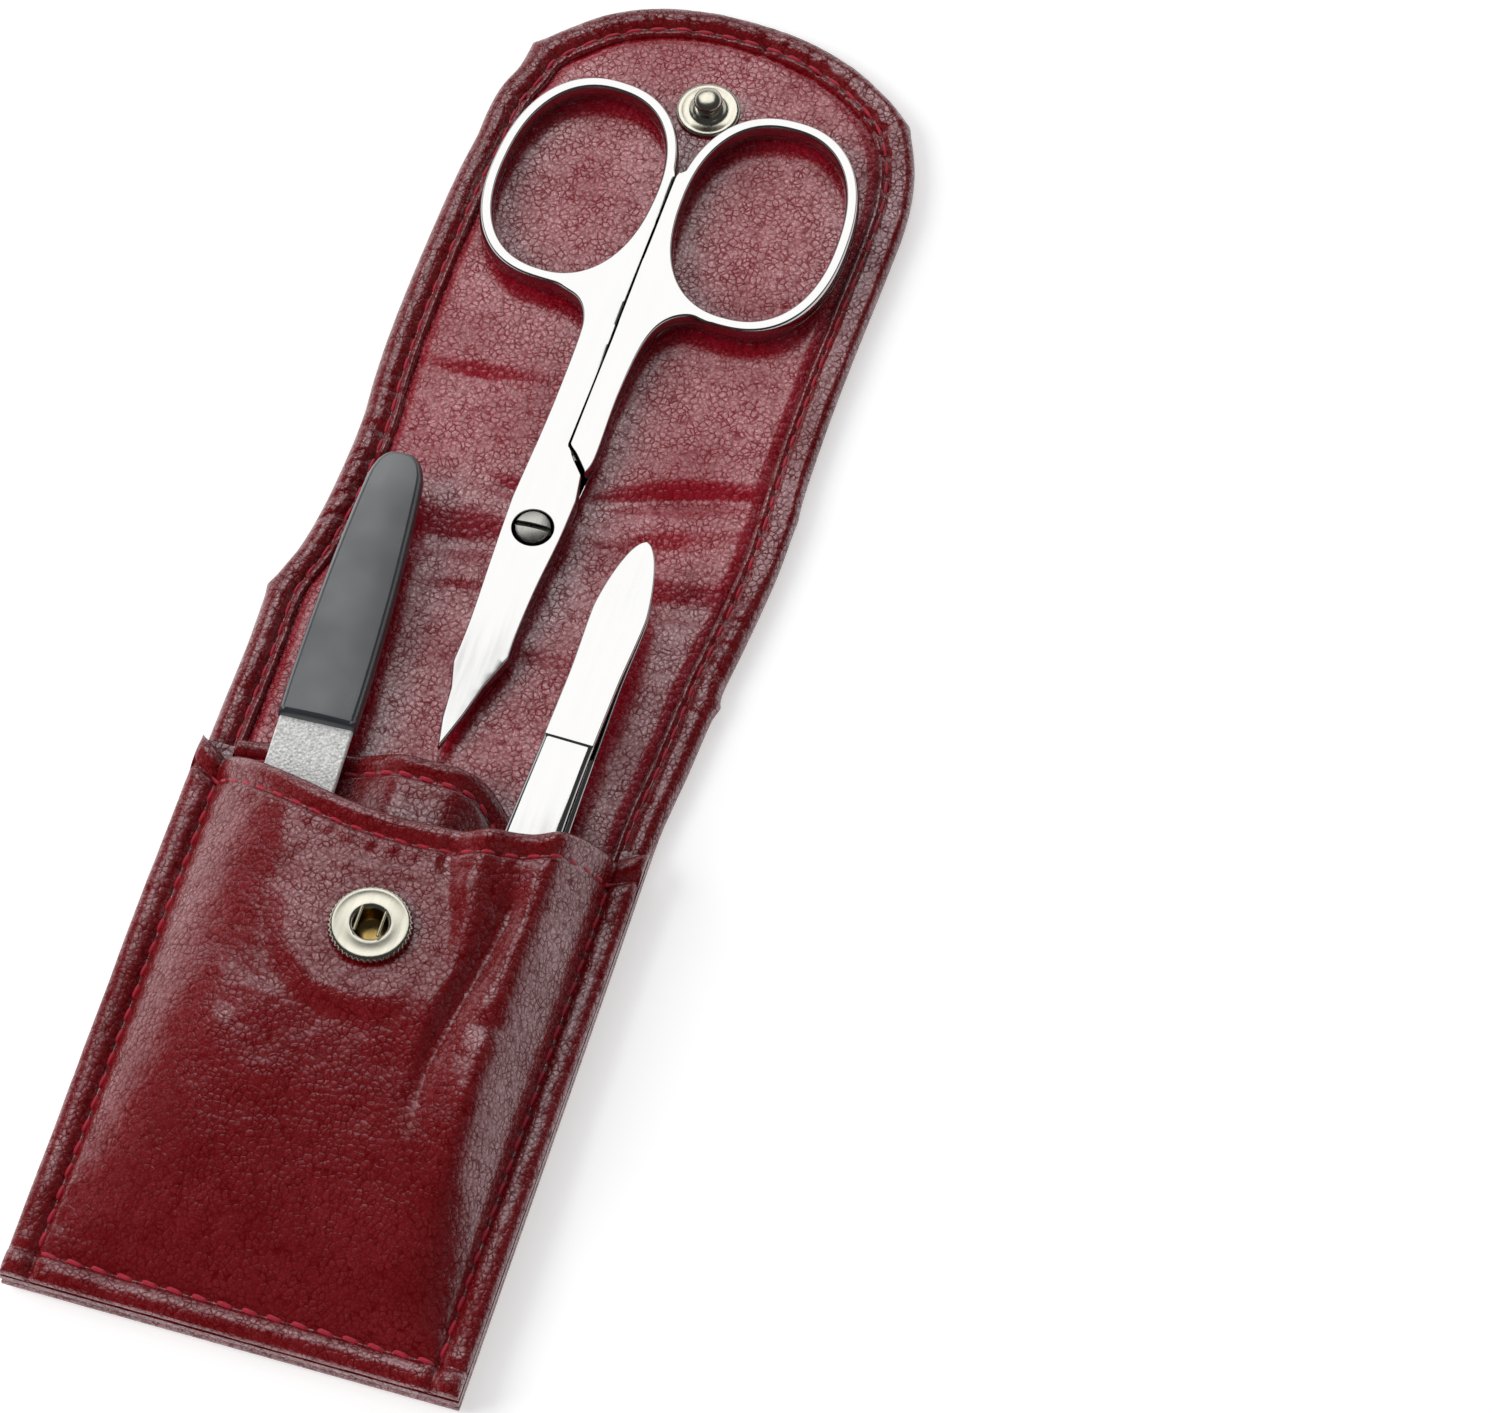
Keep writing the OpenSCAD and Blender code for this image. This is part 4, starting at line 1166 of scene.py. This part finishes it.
def scissors():
    handle_a, handle_b = handles()
    lo, hi = SCISSORS_Z, SCISSORS_Z + SCISSORS_T
    step_z, mid = lo + BLADE_T, (lo + hi) / 2

    def round_width(x, y):
        """Wide at the loops, narrow on the blades and narrower still along the parting line."""
        at_line = bump(x - PART_X - 0.4 * ease((y - 40) / 12), 0.5)
        near = at_line * ease((y - 6) / 4) * (1 - ease((y - 51.5) / 1.5))
        return mix(mix(0.24, 0.42, ease((y - 14) / 22)), 0.05, near)

    def taper(x, y, z):
        """The blades grow thinner toward the points."""
        return mid + (z - mid) * mix(0.36, 1, ease((y + 31) / 25))

    def place(v):
        return v + [*PIVOT, 0]

    top_a = cut(union(handle_a, blade()), disc_of(SCREW_ROOM))
    a = joined("scissors_left_half", [
        plate(top_a, SCISSORS_BOX, hi - BLADE_T, hi, round_width, height=taper),
        plate(cut(handle_a, disc_of(11.15)), SCISSORS_BOX, hi - BLADE_T, lo, round_width)], CHROME, place)
    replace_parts(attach(sharpen(a, 50), "scissors"), "scissors_upper")

    neck = poly((-1, 5), (3.6, 5), (4.1, 12), (PART_X + PART_GAP - 0.3, 13))
    blade_b = both(union(blade(0.02), neck), union(disc_of(10.9), lambda x, y: y))
    s = PART_GAP + 0.1
    flat_b = cut(union(handle_b, blade_b), disc_of(PIVOT_R))
    raised_b = cut(handle_b, poly((-20, -7), (20, -7), (20, 8.5), (3.35, 8.5), (3.35 + s, 8.5 + s),
                                  (0.6 + s, 11.9 + s), (-6, 12.2), (-20, 12.2)))
    b = joined("scissors_right_half", [
        plate(raised_b, SCISSORS_BOX, step_z + 0.05, hi, round_width),
        plate(flat_b, SCISSORS_BOX, step_z, lo, round_width, height=taper),
        plate(flat_b, SCISSORS_BOX, step_z - 0.1, step_z, 0.06, arcs=1, cap=False, height=taper)],
        CHROME, place)
    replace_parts(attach(sharpen(b, 50), "scissors_half"), "scissors_lower")

    def dome(x, y, z):
        return z + np.where(z > hi + 0.1, 0.2 - 0.05 * (x * x + y * y), 0)

    screw, fine = disc_of(SCREW_R), dict(cell=0.1, step=0.12)
    slot = poly(*[spun(x, y, 2) for x, y in ((-3, -0.2), (3, -0.2), (3, 0.2), (-3, 0.2))])
    head = joined("screw_head", [
        plate(cut(screw, slot), SCREW_BOX, hi - 0.65, hi + 0.3, 0.16, height=dome, grid=0.25, **fine),
        plate(screw, SCREW_BOX, hi - BLADE_T, hi - 0.6, 0.02, arcs=1, **fine)], SCREW, place)
    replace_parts(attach(sharpen(head, 50), "scissors"), "scissors_screw")


# ---------------------------------------------------------------- file


def placed(at, turn, pitch):
    """Moves points that are drawn flat round the origin: pitched, turned and put at a place."""
    def f(v):
        y, z = spun(v[:, 1], v[:, 2], pitch)
        x, y = spun(v[:, 0], y, turn)
        return np.column_stack([x + at[0], y + at[1], z + at[2]])
    return f


GRIP_HALF, GRIP_LEN, GRIP_T, GRIP_SIDE = 4.65, 36.7, 3.2, 0.35
STRIP_HALF, STRIP_T = 4.4, 0.8


def mirrored(side):
    return poly(*side, *(side * [-1, 1])[::-1][1:])


def nail_file():
    place = placed((-14.7, 74.5, 5.75), 2.35, 1.6)
    h, n = GRIP_HALF, GRIP_LEN
    grip = mirrored(catmull([(h - 0.1, 0), (h, 1), (h, 7), (h - 0.35, 19), (h - 1.15, n - 5.5),
                             (h - 1.75, n - 2), (h - 3, n - 0.3), (0, n)], 8))
    kind = dict(cell=0.25, cap=False)

    def crown(x, y, z):
        return z + np.sign(z) * (-0.012 * x * x - 0.25 * ease((y - 30) / 8))

    box, t = (-7, 7, -2, 39), GRIP_T / 2
    o = joined("file_grip", [plate(grip, box, GRIP_SIDE, t, 0.75, height=crown, **kind),
                             plate(grip, box, -GRIP_SIDE, -t, 0.75, height=crown, **kind),
                             plate(grip, box, -GRIP_SIDE, GRIP_SIDE, 0.01, arcs=1, **kind)],
               PLASTIC, place, weld=2e-6)
    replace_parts(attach(sharpen(o, 60), "file"), "file_handle")
    h, t = STRIP_HALF, STRIP_T / 2
    blank = mirrored(catmull([(h, 1.5), (h, -6), (h, -20), (h * 0.9, -34), (h * 0.62, -44.5), (0, -48)], 10))
    o = joined("file_strip", [plate(blank, (-6, 6, -50, 3), 0.0, face, 0.3, cap=False) for face in (t, -t)],
               GRIT, place, weld=2e-6)
    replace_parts(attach(sharpen(o, 60), "file"), "file_blade")


# ---------------------------------------------------------------- tweezers
GRIP, ARM_T = 3.1, 0.9
HINGE_S, HEAD_S, TIP_S, STEP_S = 31, 38.9, 38.7 - 79.7, 11


def tweezers_half(s):
    """Half the width at a distance along the tweezers: a pointed head, a slim neck and a broader grip."""
    if s > 29:
        return 3.25 * math.sqrt(max(0.003, 1 - ((s - 29) / (HEAD_S - 29)) ** 1.3))
    if s > STEP_S:
        return mix(2.95, 3.25, float(ease((s - 19) / 10)))
    if s > -10:
        return mix(GRIP + 0.15, 2.95, float(ease((s + 10) / 21)))
    return mix(1.5, GRIP + 0.15, float(ease((s - TIP_S) / (-10 - TIP_S))))


def arm_height(s):
    closed = ARM_T / 2 + 0.02
    if s > 0:
        return mix(2.3, closed, float(ease(s / HINGE_S)))
    if s > -12:
        return 2.3
    return mix(1.4, 2.3, float(ease((s - TIP_S) / (-12 - TIP_S))))


RING_STEPS = 6


def strip(stations):
    """A bar through stations of (place, half width, lower z, upper z, bevel), with rounded edges."""
    verts = []
    for s, w, lo, hi, bevel in stations:
        b = min(bevel, w * 0.45)
        c = min(bevel, (hi - lo) * 0.45)
        mid, half = (lo + hi) / 2, (hi - lo) / 2
        x, z = w - b, half - c
        for cx, cz, a0 in ((x, z, 0), (-x, z, 90), (-x, -z, 180), (x, -z, 270)):
            for k in range(RING_STEPS):
                a = math.radians(a0 + 90 * k / (RING_STEPS - 1))
                verts.append((cx + b * math.cos(a), s, mid + cz + c * math.sin(a)))
    ring = 4 * RING_STEPS
    faces = grid_faces(len(stations), ring, wrap=True)
    faces += [list(range(ring)), list(range(len(verts) - ring, len(verts)))[::-1]]
    return np.array(verts), faces


def tweezers():
    place = placed((14, 68, 6.95), -1.3, 1.5)
    head = 29 + (HEAD_S - 29) * np.sin(np.linspace(0, math.pi / 2, 40))[1:]
    steps = np.concatenate([np.linspace(TIP_S, STEP_S - 0.25, 60), np.linspace(STEP_S - 0.2, STEP_S + 0.2, 7),
                            np.linspace(STEP_S + 0.4, 29, 30), head])

    def arm(side):
        """One arm: thinner below the step, where its edges are bevelled for the fingers."""
        out = []
        for s in steps:
            low = 1 - float(ease((s - STEP_S + 0.2) / 0.4))
            h = side * arm_height(s)
            inner, outer = h - side * ARM_T / 2, h + side * (ARM_T / 2 - 0.06 * low)
            out.append((s, tweezers_half(s), min(inner, outer), max(inner, outer), mix(0.16, 0.75, low)))
        return out

    o = joined("tweezers_lower_arm", [strip(arm(-1))], CHROME, place)
    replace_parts(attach(sharpen(o, 50), "tweezers"), "tweezers_lower")
    o = joined("tweezers_upper_arm", [strip(arm(1))], CHROME, place)
    apply(sharpen(o, 50))
    ends = place(np.array([(0, HINGE_S + 2, 0), (0, HINGE_S - 4, 0)])) / 1000 - [0, REST_Y / 1000, 0]
    tuple(ends[0])
    tuple(ends[1])
    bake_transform(o)
    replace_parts(o, "tweezers_upper")


cover()
cover_stitches()
pocket()
press_stud()
scissors()
nail_file()
tweezers()

CAD_LOOKS = [(EDGE, "welt_left welt_right welt_bottom back_outer spine_outer flap_outer"),
             (LINING, "back_lining spine_lining flap_lining"), (LEATHER, "pocket_front pocket_divider"),
             (BOARD, "back_board flap_board"), (SPRING, "snap_spring"), (BRASS, "snap_socket snap_stud"),
             (GOLD_HOLE_SHADE, "snap_cup"), (GRIT, "file_blade"), (PLASTIC, "file_handle"),
             (CHROME, "snap_rivet scissors_upper scissors_lower scissors_screw tweezers_lower tweezers_upper")]
for material, names in CAD_LOOKS:
    for name in names.split():
        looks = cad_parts[name].data.materials
        looks.clear()
        looks.append(material)


# ---------------------------------------------------------------- floor
FLOOR_Z, FLOOR_SIDE, FLOOR_NEAR = -0.2, 1600, -170


def table():
    """A white table, which the camera and metal see paler than it is lit."""
    look = bpy.data.materials.new("white_table")
    look.use_nodes = True
    t = look.node_tree
    t.nodes.clear()
    diffuse = node(t, "BsdfDiffuse", i0=(0.82, 0.82, 0.82, 1)).outputs[0]
    glow = node(t, "Emission", i0=(1, 1, 1, 1), i1=0.46).outputs[0]
    paler = node(t, "AddShader", i0=diffuse, i1=glow).outputs[0]
    rays = node(t, "LightPath").outputs
    shown = node(t, "Math", operation="MAXIMUM", i0=rays["Is Camera Ray"], i1=rays["Is Glossy Ray"]).outputs[0]
    node(t, "OutputMaterial", i0=node(t, "MixShader", i0=shown, i1=diffuse, i2=paler).outputs[0])
    me = bpy.data.meshes.new("floor")
    s = FLOOR_SIDE
    corners = [to_row(x, y, FLOOR_Z) for x, y in ((-s, FLOOR_NEAR), (s, FLOOR_NEAR), (s, s), (-s, s))]
    me.from_pydata(corners, [], [(0, 1, 2, 3)])
    me.materials.append(look)
    floor = bpy.data.objects.new("floor", me)
    scene.collection.objects.link(floor)


table()
